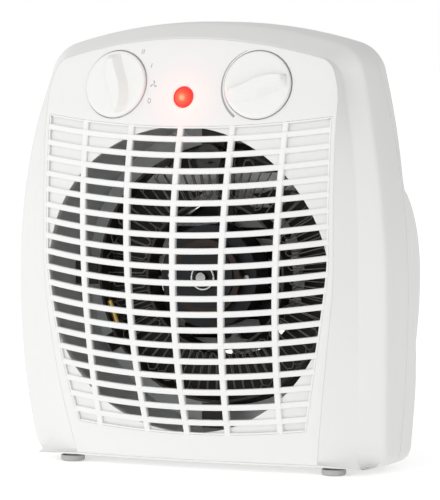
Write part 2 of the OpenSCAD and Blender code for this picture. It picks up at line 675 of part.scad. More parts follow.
block = [0.29 * body_w, 42, foot_h + wall + 1];
module terminal_block() placed() color("ivory") difference() {
  translate([block.x, block.y, block.z]) cube([20, 12, 12]);
  for (k = [0, 1]) translate([block.x + 5 + 10 * k, block.y + 6, block.z + 5]) cylinder(r = 2.4, h = 10, $fn = fine);
}
module cord_gland() placed() color("black") difference() {
  union() {
    along_y(gland_x, rear_y(gland_z) + 0.1, gland_z) cylinder(r = gland_r + 2, h = 2.4, $fn = fine);
    along_y(gland_x, rear_y(gland_z) - wall - 6, gland_z) cylinder(r = gland_r, h = wall + 7, $fn = fine);
  }
  along_y(gland_x, rear_y(gland_z) - 20, gland_z) cylinder(r = 3.6, h = 40, $fn = fine);
}
// Room for a wire between the duct and the side wall at height z
function side_run(z) = side_at(z) - wall - 8;
base_run = foot_h + wall + 3.5;
control_tag = knob_gap / 2 + 17;
module live_wire() placed() color("brown") wire([
  [block.x + 5, block.y + 6, block.z + 9], [block.x + 5, block.y + 6, block.z + 14],
  [block.x + 12, block.y + 3, block.z + 26],
  [side_run(0.25 * body_h), 44, 0.25 * body_h], [side_run(0.4 * body_h), 40, 0.4 * body_h],
  [side_run(0.6 * body_h), 34, 0.6 * body_h], [side_run(0.73 * body_h) - 3, 28, 0.73 * body_h],
  [control_tag + 16, 22, knob_z - 14], [control_tag, 18, knob_z - 4]
], 1.2);
module neutral_wire() placed() color("blue") wire([
  [block.x - 3, 44, base_run + 2], [0.25 * body_w, 36, base_run], [0.08 * body_w, 32, base_run],
  [-0.17 * body_w, 32, base_run], [-0.34 * body_w, 34, base_run + 6], [-side_run(0.2 * body_h), 36, 0.2 * body_h],
  [-side_run(0.4 * body_h), 36, 0.4 * body_h], [-side_run(0.6 * body_h), 32, 0.6 * body_h],
  [-side_run(0.73 * body_h) + 3, 26, 0.73 * body_h], [-control_tag - 14, 20, knob_z - 14], [-control_tag, 18, knob_z - 4]
], 1.2);
lamp_tail = dome_y(0, lamp_z) + wall + 15;
module lamp_wire() placed() color("white") wire([
  [-2, lamp_tail, lamp_z - 3], [-8, lamp_tail + 6, lamp_z - 4], [-knob_gap / 4, 18, lamp_z - 2], [-knob_gap / 2 + 15, 22, knob_z - 6]
], 0.8);
duct_top = fan_z + duct_r + 1.2;
module motor_wire() placed() color("black") wire([
  [-knob_gap / 2, 20, duct_top + 5], [-knob_gap / 2 - 4, 26, duct_top + 4], [-knob_gap / 2, 38, duct_top + 2.5],
  [-knob_gap / 4, 43, duct_top + 2], [0, 44, duct_top + 1.2]
], 0.9);

front_casing();
rear_casing();
front_panel();
front_grille();
air_duct();
fan_shroud();
foot_front_left();
foot_front_right();
foot_rear_left();
foot_rear_right();
casing_screws();
duct_screws();
switch_knob();
switch_shaft();
rotary_switch();
thermostat_knob();
thermostat_shaft();
thermostat();
bimetal_strip();
lamp_lens();
lamp_holder();
element_hub_ring();
element_rim_ring();
mica_cards();
heating_wire_low();
heating_wire_high();
thermal_cutout();
thermal_fuse();
motor_bracket();
stator();
front_winding();
rear_winding();
front_bearing();
rear_bearing();
motor_screws();
motor_shaft();
rotor();
fan();
fan_nut();
terminal_block();
cord_gland();
live_wire();
neutral_wire();
lamp_wire();
motor_wire();
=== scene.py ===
"""Upright fan heater: white moulded casing, domed grille, two dials, pilot lamp, duct with wire element, fan.

Sizes are in millimetres in the casing's own frame, where y = 0 is the plane of the front edges. placed() and
spot() turn them into metres in the shared frame.
"""
import math

import bmesh
import bpy
import numpy as np
from mathutils import Matrix, Vector, geometry


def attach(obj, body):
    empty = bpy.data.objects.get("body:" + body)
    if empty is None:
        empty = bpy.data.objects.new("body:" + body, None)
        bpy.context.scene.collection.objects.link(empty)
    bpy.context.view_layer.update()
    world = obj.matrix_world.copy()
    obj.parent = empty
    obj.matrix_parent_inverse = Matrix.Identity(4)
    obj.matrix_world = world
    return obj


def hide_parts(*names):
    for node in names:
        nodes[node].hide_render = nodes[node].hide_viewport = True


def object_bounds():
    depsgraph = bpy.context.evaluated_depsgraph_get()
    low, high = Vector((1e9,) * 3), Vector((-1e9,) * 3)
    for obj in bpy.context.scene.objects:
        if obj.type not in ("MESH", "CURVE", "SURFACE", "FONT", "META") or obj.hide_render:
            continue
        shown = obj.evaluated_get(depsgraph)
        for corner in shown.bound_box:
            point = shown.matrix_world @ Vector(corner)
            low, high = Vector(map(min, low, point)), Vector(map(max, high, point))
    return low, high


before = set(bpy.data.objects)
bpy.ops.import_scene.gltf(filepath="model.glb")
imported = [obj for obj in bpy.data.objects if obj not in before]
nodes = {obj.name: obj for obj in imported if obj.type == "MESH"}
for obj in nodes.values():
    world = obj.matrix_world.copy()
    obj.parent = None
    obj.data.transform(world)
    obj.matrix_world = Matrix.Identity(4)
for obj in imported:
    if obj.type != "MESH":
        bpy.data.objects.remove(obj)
cad_low, cad_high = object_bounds()

# ---------------------------------------------------------------- sizes, as in the CAD source

# Overall width, depth and height
W, D, H = (round((cad_high[k] - cad_low[k]) * 1000) for k in (0, 1, 2))
HALF_W, HALF_H = W / 2, H / 2

# Casings
PILLOW = 28.0  # how far the pillowed front stands ahead of the plane of its edges
DATUM = PILLOW - D / 2  # that plane in the shared frame
WALL = 2.2
FOOT_H = 3.5  # gap under the casing
SEAM = 40.0  # depth of the seam between the casings
SLIP = 0.3  # gap round the panel
WIDEST = 0.4 * H  # height where the outline is widest
CROWN_R, CORNER_R, BASE_R = 1.3 * W, 0.1 * W, 10.0
UPPER_R, LOWER_R = HALF_H ** 2 / 36, HALF_H ** 2 / 18
HUMP_TOP, HUMP_FOOT, HUMP_Y = 0.65 * H, 0.14 * H, D - PILLOW
WAIST_Y = 52.5  # depth of the rear wall above the hump
REAR_ROUND = 12.0  # radius round the rear wall

# Panel and grille
FIELD_W = 0.376 * W  # half width of the grille's field
PANEL_W = FIELD_W + 2  # half width of the panel
FIELD_TOP, FIELD_BOTTOM = H - 59.5, FOOT_H + 18
POCKET = 4.5  # depth of the field's back below the panel's face
FLOOR_DEPTH = 1.7  # depth of the shown floor behind the slats
SLAT_ROWS = 20
SLAT_T, SLAT_H = 3.2, 3.4
BAR_W = 3.6  # width of an upright
ROW_PITCH = (FIELD_TOP - FIELD_BOTTOM + SLAT_H) / SLAT_ROWS

# Dials and lamp
KNOB_R, KNOB_T = 19.5, 1.4
KNOB_X, KNOB_Z = 44.0, H - 36.0
SEAT_SINK = 2.5  # depth of a dial's seat
KNOB_RIDGE = 3.6  # height of the finger ridge
LAMP_R, LAMP_Z = 5.9, H - 43.0

# Duct, element, motor and fan, on one axis
FAN_Z = (FIELD_TOP + FIELD_BOTTOM) / 2 + 0.3
OUTLET_R = FIELD_W - 0.4
DUCT_R, THROAT_R = OUTLET_R + 1.4, 0.88 * OUTLET_R
ELEMENT_Y = 32.0
HUB_RING_R, RIM_RING_R = 0.5 * OUTLET_R, 0.83 * OUTLET_R
CAP_Y, BEARING_PLATE_R = 14.0, 18.0
FAN_Y, FAN_L = 55.0, 16.0
SHROUD_R = min(0.6 * OUTLET_R, HUMP_TOP - FAN_Z - 8.8)
FAN_R = SHROUD_R - 2.0

# Places of the screws, the cord's gland and the feet
BOSSES = [(s * x, z) for x, z in ((0.415 * W, FOOT_H + 22), (0.356 * W, H - 33)) for s in (-1, 1)]
GLAND = (0.3 * W, FOOT_H + 19)
FOOT_X, FOOT_FRONT_Y, FOOT_REAR_Y = 0.352 * W, 13.0, 54.0

# ---------------------------------------------------------------- shape of the front, outline and hump


def dome_edge(z):
    """Depth of the pillow along its sides at height z: a shallow bow that leans back above the field."""
    low = -9 + 15.5 * ((np.minimum(z, FIELD_TOP) - 0.53 * H) / HALF_H) ** 2
    return low + 0.22 * np.maximum(z - FIELD_TOP, 0)


def dome_crest(z):
    """Depth of the pillow along its middle at height z."""
    low = -PILLOW + 35 * ((np.minimum(z, FIELD_TOP) - 0.47 * H) / HALF_H) ** 2
    return low + 0.24 * np.maximum(z - FIELD_TOP, 0)


def dome_y(x, z):
    """Depth of the pillowed front at x, z."""
    return dome_edge(z) + (dome_crest(z) - dome_edge(z)) * (1 - (x / PANEL_W) ** 2)


def draw_in(z):
    """Share by which the panel has drawn in at height z, towards its foot."""
    return (np.maximum(0.45 * H - z, 0) / (0.44 * H)) ** 1.3


def panel_half(z):
    """Half width of the panel at height z."""
    return PANEL_W - 0.066 * W * draw_in(z)


def field_half(z):
    """Half width of the grille's field at height z."""
    return FIELD_W - 0.09 * W * draw_in(z)


def slat_rise(x):
    """How far a slat has risen at x, on its arch."""
    return x * x / (5.26 * W)


def bar_x(k, z):
    """Centre of upright k of the grille at height z; the uprights lean in towards the foot."""
    t = np.maximum((FIELD_TOP - z) / (FIELD_TOP - FIELD_BOTTOM), 0)
    reach = 0.2653 * W - 5.8 * t if abs(k) == 2 else abs(k) * (0.134 * W - 6.4 * t ** 1.3)
    return np.sign(k) * reach


def arc(cx, cz, r, a0, a1, n):
    """Rows of x, z and the outward normal along an arc, without its last point."""
    a = np.linspace(a0, a1, n, endpoint=False)
    return np.stack([cx + r * np.cos(a), cz + r * np.sin(a), np.cos(a), np.sin(a)], 1)


def casing_outline(base=8, low=16, high=18, corner=22, crown=16, flat=8):
    """Front-view outline as rows of x, z and the outward normal, anticlockwise from the middle of the base.
    The arguments are the numbers of points on its stretches."""
    low_c, high_c, crown_c = (HALF_W - LOWER_R, WIDEST), (HALF_W - UPPER_R, WIDEST), (0.0, H - CROWN_R)
    base_z = FOOT_H + BASE_R
    base_c = (low_c[0] + math.sqrt((LOWER_R - BASE_R) ** 2 - (base_z - WIDEST) ** 2), base_z)
    # The corner's centre is where two circles meet: one round the crown's centre, one round the upper side's
    da, db = CROWN_R - CORNER_R, UPPER_R - CORNER_R
    dx, dz = high_c[0] - crown_c[0], high_c[1] - crown_c[1]
    d = math.hypot(dx, dz)
    along = (da * da - db * db + d * d) / (2 * d)
    up = math.sqrt(da * da - along * along)
    corner_c = (crown_c[0] + (along * dx + up * dz) / d, crown_c[1] + (along * dz - up * dx) / d)
    base_a = math.atan2(base_c[1] - low_c[1], base_c[0] - low_c[0])
    side_a = math.atan2(corner_c[1] - high_c[1], corner_c[0] - high_c[0])
    crown_a = math.atan2(corner_c[1] - crown_c[1], corner_c[0] - crown_c[0])
    half = np.concatenate([
        np.array([[base_c[0] * k / flat, FOOT_H, 0, -1] for k in range(flat)]),
        arc(*base_c, BASE_R, -math.pi / 2, base_a, base),
        arc(*low_c, LOWER_R, base_a, 0, low),
        arc(*high_c, UPPER_R, 0, side_a, high),
        arc(*corner_c, CORNER_R, side_a, crown_a, corner),
        arc(*crown_c, CROWN_R, crown_a, math.pi / 2, crown),
    ])
    return np.concatenate([half, [[0, H, 0, 1]], half[:0:-1] * [-1, 1, -1, 1]])


OUTLINE = casing_outline()


def inset(p, side, top, base):
    """The outline's x and z, moved inwards by different amounts at its sides, top and base."""
    return p[:, 0] - side * p[:, 2], p[:, 1] - np.where(p[:, 3] > 0, top, base) * p[:, 3]


def brow(z):
    """Width of the band between the outline and the panel at height z."""
    return 16 - 4 * np.clip((z / H - 0.43) / 0.32, 0, 1)


def mouth(p, into=0.0):
    """The opening that the panel fills."""
    x, z = inset(p, brow(p[:, 1]), 9, 1.2)
    z = z - (0.8 + into) * np.maximum(p[:, 3], 0) + (1.3 + into) * np.maximum(-p[:, 3], 0)
    return np.sign(x) * np.minimum(abs(x), panel_half(z) + SLIP - into), z


def ring_at(p, side, top, base, back):
    """Ring on the inset outline that stays a fixed depth behind the mouth's edge."""
    x, z = inset(p, side, top, base)
    return np.stack([x, dome_y(*mouth(p)) + back, z], 1)


def mouth_ring(p, into, back):
    """Ring along the mouth's edge, moved inwards and back."""
    x, z = mouth(p, into)
    return np.stack([x, dome_y(*mouth(p)) + back, z], 1)


def crease_ring(p, into, back):
    """Ring along the crease between the front band and the side wall."""
    x, z = inset(p, brow(p[:, 1]) + into, 9 + 0.8 * into, 1.2 + into)
    return np.stack([x, dome_y(*mouth(p)) + 0.6 + 10 * p[:, 2] ** 2 + back, z], 1)


def flat_ring(p, into, y):
    """The inset outline in the plane at depth y."""
    x, z = inset(p, into, into, into)
    return np.stack([x, np.full(len(p), float(y)), z], 1)


def rear_y(z):
    """Depth of the rear wall at height z."""
    return WAIST_Y + 0.115 * np.maximum(z - HUMP_TOP, 0) + 14.5 * np.clip((HUMP_TOP - z) / (0.46 * H), 0, 1)


def rear_ring(p, into, a):
    """Ring on the rounded edge of the rear wall, at angle a round it."""
    r = REAR_ROUND - into
    fall = into + r * (1 - math.cos(a))
    x, z = inset(p, fall, fall, into)
    return np.stack([x, rear_y(p[:, 1]) - REAR_ROUND + r * math.sin(a), z], 1)


def hump_depth(z):
    """Depth of the rear hump at height z."""
    above = WAIST_Y + (HUMP_Y - WAIST_Y) * np.sqrt(1 - np.clip((z - FAN_Z) / (HUMP_TOP - FAN_Z), 0, 1) ** 2)
    below = 60 + (HUMP_Y - 60) * np.sqrt(1 - np.clip((FAN_Z - z) / (FAN_Z - HUMP_FOOT), 0, 1) ** 2)
    return np.where(z > FAN_Z, above, below)


# ---------------------------------------------------------------- camera, light and floor

CAMERA_AZIMUTH, CAMERA_TILT = math.radians(23.627), math.radians(3.586)
CAMERA_DISTANCE, CAMERA_HEIGHT, CAMERA_SIDE = 1.834, 0.2415, 0.0161
LENS_MM = 231.6

ROOM_LIGHT = 0.95
ROOM_LEAN = (-0.16, -0.26, -0.24)  # the room's light is stronger from the left, the front and below
FRONT_WATTS = 5.0
LAMP_WATTS = 0.0045


def set_camera():
    """Camera to the right of the front, just under the heater's top."""
    right = Vector((math.cos(CAMERA_AZIMUTH), math.sin(CAMERA_AZIMUTH), 0))
    ahead = Vector((-math.sin(CAMERA_AZIMUTH), math.cos(CAMERA_AZIMUTH), 0))
    data = bpy.data.cameras.new("camera")
    data.lens = LENS_MM
    camera = bpy.data.objects.new("camera", data)
    middle = Vector((0, DATUM / 1000, CAMERA_HEIGHT))
    camera.location = middle - ahead * CAMERA_DISTANCE + right * CAMERA_SIDE
    camera.rotation_euler = (math.pi / 2 - CAMERA_TILT, 0, CAMERA_AZIMUTH)
    bpy.context.scene.collection.objects.link(camera)
    bpy.context.scene.camera = camera


def softbox(name, place, aim, size, watts):
    """Rectangular light at a place, turned to its aim."""
    data = bpy.data.lights.new(name, "AREA")
    data.shape = "RECTANGLE"
    data.size, data.size_y = size
    data.energy = watts
    lamp = bpy.data.objects.new(name, data)
    lamp.location = place
    lamp.rotation_euler = (Vector(aim) - Vector(place)).to_track_quat("-Z", "Y").to_euler()
    bpy.context.scene.collection.objects.link(lamp)


def set_studio():
    """White room whose light leans to one side, seen as plain white, and a softbox in front."""
    world = bpy.data.worlds.new("studio")
    bpy.context.scene.world = world
    world.use_nodes = True
    tree = world.node_tree
    sky = tree.nodes["Background"]
    sky.inputs["Color"].default_value = (1, 1, 1, 1)
    place = add(tree, "ShaderNodeTexCoord")
    dot = {"operation": "DOT_PRODUCT"}
    lean = add(tree, "ShaderNodeVectorMath", dot, i0=(place, "Generated"), i1=ROOM_LEAN)
    level = add(tree, "ShaderNodeMath", {"operation": "ADD"}, i0=(lean, "Value"), i1=ROOM_LIGHT)
    ray = add(tree, "ShaderNodeLightPath")
    straight = (ray, "Is Camera Ray")
    seen = add(tree, "ShaderNodeMix", {"data_type": "FLOAT"}, i0=straight, i2=(level, 0), i3=1.0)
    tree.links.new(seen.outputs[0], sky.inputs["Strength"])
    bpy.context.scene.view_settings.view_transform = "Standard"
    softbox("front_softbox", (-0.55, -1.5, 0.35), (0, 0, 0.12), (1.2, 1.0), FRONT_WATTS)


# ---------------------------------------------------------------- materials

def linear(code):
    """sRGB hex to linear RGBA."""
    srgb = [int(code[i:i + 2], 16) / 255 for i in (1, 3, 5)]
    return (*[c / 12.92 if c <= 0.04045 else ((c + 0.055) / 1.055) ** 2.4 for c in srgb], 1.0)


def add(tree, kind, settings=None, **links):
    """Adds a node; settings are its properties, links its inputs as values or as (node, output) pairs. An
    input is given by its name, or as i and its number."""
    made = tree.nodes.new(kind)
    for key, value in (settings or {}).items():
        setattr(made, key, value)
    for key, value in links.items():
        numbered = key[0] == "i" and key[1:].isdigit()
        socket = made.inputs[int(key[1:])] if numbered else made.inputs[key.replace("_", " ")]
        if isinstance(value, tuple) and value and isinstance(value[0], bpy.types.Node):
            tree.links.new(value[0].outputs[value[1]], socket)
        else:
            socket.default_value = value
    return made


def finish_of(name, colour, rough, metal=0.0, ior=1.5, speck=(0.0, 1.0), grain=(0.0, 1.0), stretch=(1, 1, 1),
              spread=0.04, **more):
    """Procedural finish: the colour wanders by speck=(share, size in mm), the surface is roughened by
    grain=(depth in mm, size in mm), both stretched per axis, and the roughness varies by spread."""
    material = bpy.data.materials.new(name)
    material.use_nodes = True
    tree = material.node_tree
    shader = tree.nodes["Principled BSDF"]
    shader.inputs["Metallic"].default_value = metal
    if metal == 0:
        shader.inputs["IOR"].default_value = ior
    for key, value in more.items():
        shader.inputs[key.replace("_", " ")].default_value = value
    place = add(tree, "ShaderNodeTexCoord")
    turned = add(tree, "ShaderNodeMapping", Vector=(place, "Object"), Scale=stretch)
    tone = add(tree, "ShaderNodeTexNoise", Vector=(turned, "Vector"), Scale=1000 / speck[1], Detail=3.0)
    base = linear(colour)
    dark = tuple(c * (1 - speck[0]) for c in base[:3]) + (1.0,)
    light = tuple(min(c * (1 + speck[0]), 1.0) for c in base[:3]) + (1.0,)
    ramp = add(tree, "ShaderNodeMix", {"data_type": "RGBA"}, i0=(tone, "Fac"), i6=dark, i7=light)
    tree.links.new(ramp.outputs[2], shader.inputs["Base Color"])
    gloss = add(tree, "ShaderNodeMapRange", Value=(tone, "Fac"), To_Min=rough - spread, To_Max=rough + spread)
    tree.links.new(gloss.outputs["Result"], shader.inputs["Roughness"])
    fine = add(tree, "ShaderNodeTexNoise", Vector=(turned, "Vector"), Scale=1000 / grain[1], Detail=2.0)
    bump = add(tree, "ShaderNodeBump", Height=(fine, "Fac"), Distance=grain[0] / 1000, Strength=1.0)
    tree.links.new(bump.outputs["Normal"], shader.inputs["Normal"])
    return material


def lit_lens():
    """Tinted polycarbonate over a lit neon: hot amber core, deep red rim."""
    material = bpy.data.materials.new("tinted_polycarbonate_lit")
    material.use_nodes = True
    tree = material.node_tree
    shader = tree.nodes["Principled BSDF"]
    shader.inputs["Base Color"].default_value = linear("#C81E12")
    shader.inputs["Roughness"].default_value = 0.18
    shader.inputs["IOR"].default_value = 1.58
    place = add(tree, "ShaderNodeTexCoord")
    centre = tuple(-c for c in spot(0, LAMP_Z, -1.5))
    turned = add(tree, "ShaderNodeMapping", Vector=(place, "Object"), Location=centre)
    reach = add(tree, "ShaderNodeVectorMath", {"operation": "LENGTH"}, i0=(turned, "Vector"))
    share = add(tree, "ShaderNodeMapRange", Value=(reach, "Value"), From_Min=0.0, From_Max=LAMP_R / 1000)
    glow = add(tree, "ShaderNodeValToRGB", Fac=(share, "Result"))
    stops = [(0.0, "#FFD894"), (0.2, "#FFAA66"), (0.45, "#FF5A36"), (0.75, "#F83420"), (1.0, "#E42A1C")]
    while len(glow.color_ramp.elements) < len(stops):
        glow.color_ramp.elements.new(0.5)
    for stop, (at, code) in zip(glow.color_ramp.elements, stops):
        stop.position, stop.color = at, linear(code)
    tree.links.new(glow.outputs["Color"], shader.inputs["Emission Color"])
    shader.inputs["Emission Strength"].default_value = 0.92
    return material


def spot(x, z, lift=0.0):
    """Point on the front in metres, lift mm behind its surface."""
    return (x / 1000, (float(dome_y(x, z)) + lift + DATUM) / 1000, z / 1000)


# The real skins are rough on a scale of a tenth of a millimetre or less. Their grain is drawn at 0.3 mm and
# more, so that it shows.

# Moulded polypropylene of the casings: satin white from an eroded mould, with hardly any change of colour
POLYPROPYLENE = finish_of("moulded_polypropylene", "#DCDCDB", 0.42, speck=(0.008, 30), grain=(0.02, 0.7))
# The same plastic from a smoother mould: the slats' rounded edges catch a slightly crisper light
POLYPROPYLENE_SLATS = finish_of("moulded_polypropylene_slats", "#E0E0DF", 0.36, speck=(0.008, 20),
                                grain=(0.012, 0.6))
# Polished ABS of the dials: smoother than the casing, with thin highlights on the rim and the ridge
ABS_DIAL = finish_of("polished_abs", "#DEDEDC", 0.3, ior=1.54, speck=(0.006, 15), grain=(0.006, 0.8))
# Galvanised sheet of the duct: soft grey, with spangles drawn out from front to back
GALVANISED = finish_of("rolled_galvanised_sheet", "#D2D3D4", 0.5, 0.3, speck=(0.07, 6), grain=(0.02, 1.2),
                       stretch=(1, 0.15, 1), spread=0.08)
# Zinc plate of the screws and the fan's nut: bright cool grey, a little cloudy
ZINC = finish_of("zinc_plated_steel", "#B9BAB8", 0.32, 1.0, speck=(0.06, 1.5), grain=(0.01, 0.4))
# Ground steel of the shafts: fine lines that draw the light into streaks
GROUND_STEEL = finish_of("ground_steel", "#A9A9A8", 0.24, 1.0, speck=(0.04, 1), grain=(0.006, 0.3),
                         stretch=(1, 0.1, 1))
# Chrome on the bearings: mirror bright, dark where nothing pale is reflected
CHROME = finish_of("chrome_plated_steel", "#D5D6D8", 0.09, 1.0, speck=(0.02, 3), grain=(0.002, 0.5),
                   spread=0.02)
# Cast aluminium of the rotor: dull grey with a coarse skin
CAST_ALUMINIUM = finish_of("cast_aluminium", "#A8A9AB", 0.45, 1.0, speck=(0.08, 1.2), grain=(0.04, 0.6))
# Drawn nichrome of the element: warm grey wire, clouded by heat
NICHROME = finish_of("drawn_nichrome_wire", "#75716D", 0.3, 1.0, speck=(0.12, 2), grain=(0.004, 0.3),
                     spread=0.08)
# Pressed mica board: dark brown flakes, matt with small glints
MICA = finish_of("pressed_phlogopite_board", "#2E2A26", 0.5, speck=(0.22, 2.2), grain=(0.05, 0.9),
                 spread=0.12)
# Stacked electrical steel: dark, with the sheets' edges as fine lines across the axis
LAMINATIONS = finish_of("stacked_electrical_steel", "#26272A", 0.5, 0.6, speck=(0.2, 0.5), grain=(0.08, 0.5),
                        stretch=(0.05, 1, 0.05))
# Varnished copper winding: dark brown turns under a resin's gloss
WINDING = finish_of("varnished_copper_winding", "#2C1C14", 0.3, 0.4, speck=(0.25, 0.9), grain=(0.12, 0.7),
                    stretch=(1, 0.3, 1))
# Black polyamide of the fan and its shroud: dull black with soft highlights
FAN_BLACK = finish_of("moulded_black_polyamide", "#0E0F10", 0.55, speck=(0.1, 4), grain=(0.02, 0.7),
                      spread=0.06)
# Grey elastomer of the feet: matt and dusty, with no sharp highlight
ELASTOMER = finish_of("moulded_grey_elastomer", "#A6A6A4", 0.62, speck=(0.05, 3), grain=(0.04, 0.5),
                      spread=0.06)
# Phosphated sheet steel of the motor's bracket and bearing plate: dark grey, slightly mottled
DARK_STEEL = finish_of("phosphated_sheet_steel", "#242527", 0.5, 0.5, speck=(0.12, 3), grain=(0.02, 0.8),
                       spread=0.08)
# Moulded phenolic of the cut-out: hard brownish black with a clean gloss
PHENOLIC = finish_of("moulded_black_phenolic", "#1C1B1A", 0.35, speck=(0.1, 2), grain=(0.02, 0.5),
                     spread=0.05)
# Ivory polyamide of the switches, the lamp's holder and the terminals: warm and slightly waxy
IVORY = finish_of("moulded_ivory_polyamide", "#D8D0B8", 0.5, speck=(0.03, 5), grain=(0.02, 0.6))
# Rolled brass of the bimetal strip and the fuse: yellow with a soft streak
BRASS = finish_of("rolled_brass", "#C8A860", 0.3, 1.0, speck=(0.06, 2), grain=(0.006, 0.5))
# Extruded PVC of the wires and the gland: even colour with a smooth low sheen
PVC_BROWN = finish_of("extruded_pvc_brown", "#5A3420", 0.45, speck=(0.06, 3), grain=(0.01, 0.6))
PVC_BLUE = finish_of("extruded_pvc_blue", "#2C4C9C", 0.45, speck=(0.06, 3), grain=(0.01, 0.6))
PVC_WHITE = finish_of("extruded_pvc_white", "#DAD9D5", 0.45, speck=(0.03, 3), grain=(0.01, 0.6))
PVC_BLACK = finish_of("extruded_pvc_black", "#141414", 0.45, speck=(0.1, 3), grain=(0.01, 0.6))
# Pad-printed ink of the dials' marks: thin flat grey, duller than the plastic under it
PRINT_INK = finish_of("pad_printed_grey_ink", "#979798", 0.55, speck=(0.05, 1.5), grain=(0.01, 0.4))
# Studio paper: matt white, with a little light of its own that thins the shadows on it
FLOOR_PAPER = finish_of("white_studio_paper", "#FDFDFD", 0.8, speck=(0.004, 60), grain=(0.02, 2),
                        Emission_Color=(1, 1, 1, 1), Emission_Strength=0.32)

# ---------------------------------------------------------------- mesh builders

def as_object(name, mesh):
    """New object with the mesh, in the scene."""
    made = bpy.data.objects.new(name, mesh)
    bpy.context.scene.collection.objects.link(made)
    return made


def placed(points):
    """Casing frame in mm to the shared frame in metres."""
    return (np.asarray(points, float) + [0, DATUM, 0]) / 1000


def mesh_of(name, points, faces):
    """Closed mesh in the shared frame, its doubles merged and its faces turned outwards."""
    mesh = bpy.data.meshes.new(name)
    mesh.from_pydata(placed(points).tolist(), [], [list(map(int, f)) for f in faces])
    work = bmesh.new()
    work.from_mesh(mesh)
    bmesh.ops.remove_doubles(work, verts=work.verts, dist=2e-6)
    bmesh.ops.recalc_face_normals(work, faces=work.faces)
    work.to_mesh(mesh)
    work.free()
    return mesh


def shade(mesh, finish, sharp=32):
    """Smooth shading, with edges steeper than sharp degrees kept crisp."""
    mesh.materials.clear()
    mesh.materials.append(finish)
    work = bmesh.new()
    work.from_mesh(mesh)
    for face in work.faces:
        face.smooth = True
        face.material_index = 0
    for edge in work.edges:
        edge.smooth = len(edge.link_faces) == 2 and edge.calc_face_angle(0) < math.radians(sharp)
    work.to_mesh(mesh)
    work.free()


def piece(name, mesh, finish, body, stands_for=(), sharp=32):
    """A finished piece that rides on a body and may stand for CAD nodes."""
    shade(mesh, finish, sharp)
    made = as_object(name, mesh)
    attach(made, body)
    if stands_for:
        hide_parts(*stands_for)
    return made


def loft(rings, loop=False, start=None, end=None):
    """Quads over equal closed rings; joined end to end, or capped by a point at each end."""
    n, m = len(rings[0]), len(rings)
    points = np.concatenate(rings)
    last = m if loop else m - 1
    faces = [(i * n + j, i * n + (j + 1) % n, (i + 1) % m * n + (j + 1) % n, (i + 1) % m * n + j)
             for i in range(last) for j in range(n)]
    for tip, ring in ((start, 0), (end, m - 1)):
        if tip is not None:
            points = np.concatenate([points, [tip]])
            faces += [(len(points) - 1, ring * n + j, ring * n + (j + 1) % n) for j in range(n)]
    return points, faces


def soften(rings, radii, steps=6):
    """Rounds a closed string of rings at each ring by its radius."""
    made, count = [], len(rings)
    for k, radius in enumerate(radii):
        before, here, after = rings[k - 1], rings[k], rings[(k + 1) % count]
        if radius == 0:
            made.append(here)
            continue
        back, on = before - here, after - here
        back_l, on_l = (np.linalg.norm(v, axis=1, keepdims=True) for v in (back, on))
        a = here + back * np.minimum(radius, 0.45 * back_l) / np.maximum(back_l, 1e-6)
        b = here + on * np.minimum(radius, 0.45 * on_l) / np.maximum(on_l, 1e-6)
        for t in np.linspace(0, 1, steps):
            made.append((1 - t) ** 2 * a + 2 * t * (1 - t) * here + t * t * b)
    return made


def evaluated(obj):
    """The object's mesh with its modifiers worked out; the object itself goes."""
    bpy.context.view_layer.update()
    made = bpy.data.meshes.new_from_object(obj.evaluated_get(bpy.context.evaluated_depsgraph_get()))
    bpy.data.objects.remove(obj)
    return made


def combine(mesh, other, operation):
    """Boolean of two closed meshes."""
    base, tool = as_object("base", mesh), as_object("tool", other)
    cut = base.modifiers.new("combine", "BOOLEAN")
    cut.operation, cut.object, cut.solver = operation, tool, "MANIFOLD"
    made = evaluated(base)
    bpy.data.objects.remove(tool)
    return made


def joined(*meshes):
    """One mesh of several."""
    work = bmesh.new()
    for mesh in meshes:
        work.from_mesh(mesh)
    made = bpy.data.meshes.new("joined")
    work.to_mesh(made)
    work.free()
    return made


def inside(points, loop):
    """Which points lie in a closed loop."""
    x, y = points[:, 0:1], points[:, 1:2]
    a, b = loop, np.roll(loop, -1, 0)
    spans = (a[:, 1] > y) != (b[:, 1] > y)
    with np.errstate(divide="ignore", invalid="ignore"):
        cross = (b[:, 0] - a[:, 0]) * (y - a[:, 1]) / (b[:, 1] - a[:, 1]) + a[:, 0]
    return (np.sum(spans & (x < cross), 1) % 2).astype(bool)


def area_of(loop):
    """Area of a closed loop, negative if it runs clockwise."""
    x, y = loop[:, 0], loop[:, 1]
    return 0.5 * np.sum(x * np.roll(y, -1) - np.roll(x, -1) * y)


def left_of(loop):
    """Unit normals to the left of a closed loop."""
    along = np.roll(loop, -1, 0) - np.roll(loop, 1, 0)
    along /= np.linalg.norm(along, axis=1, keepdims=True)
    return np.stack([-along[:, 1], along[:, 0]], 1)


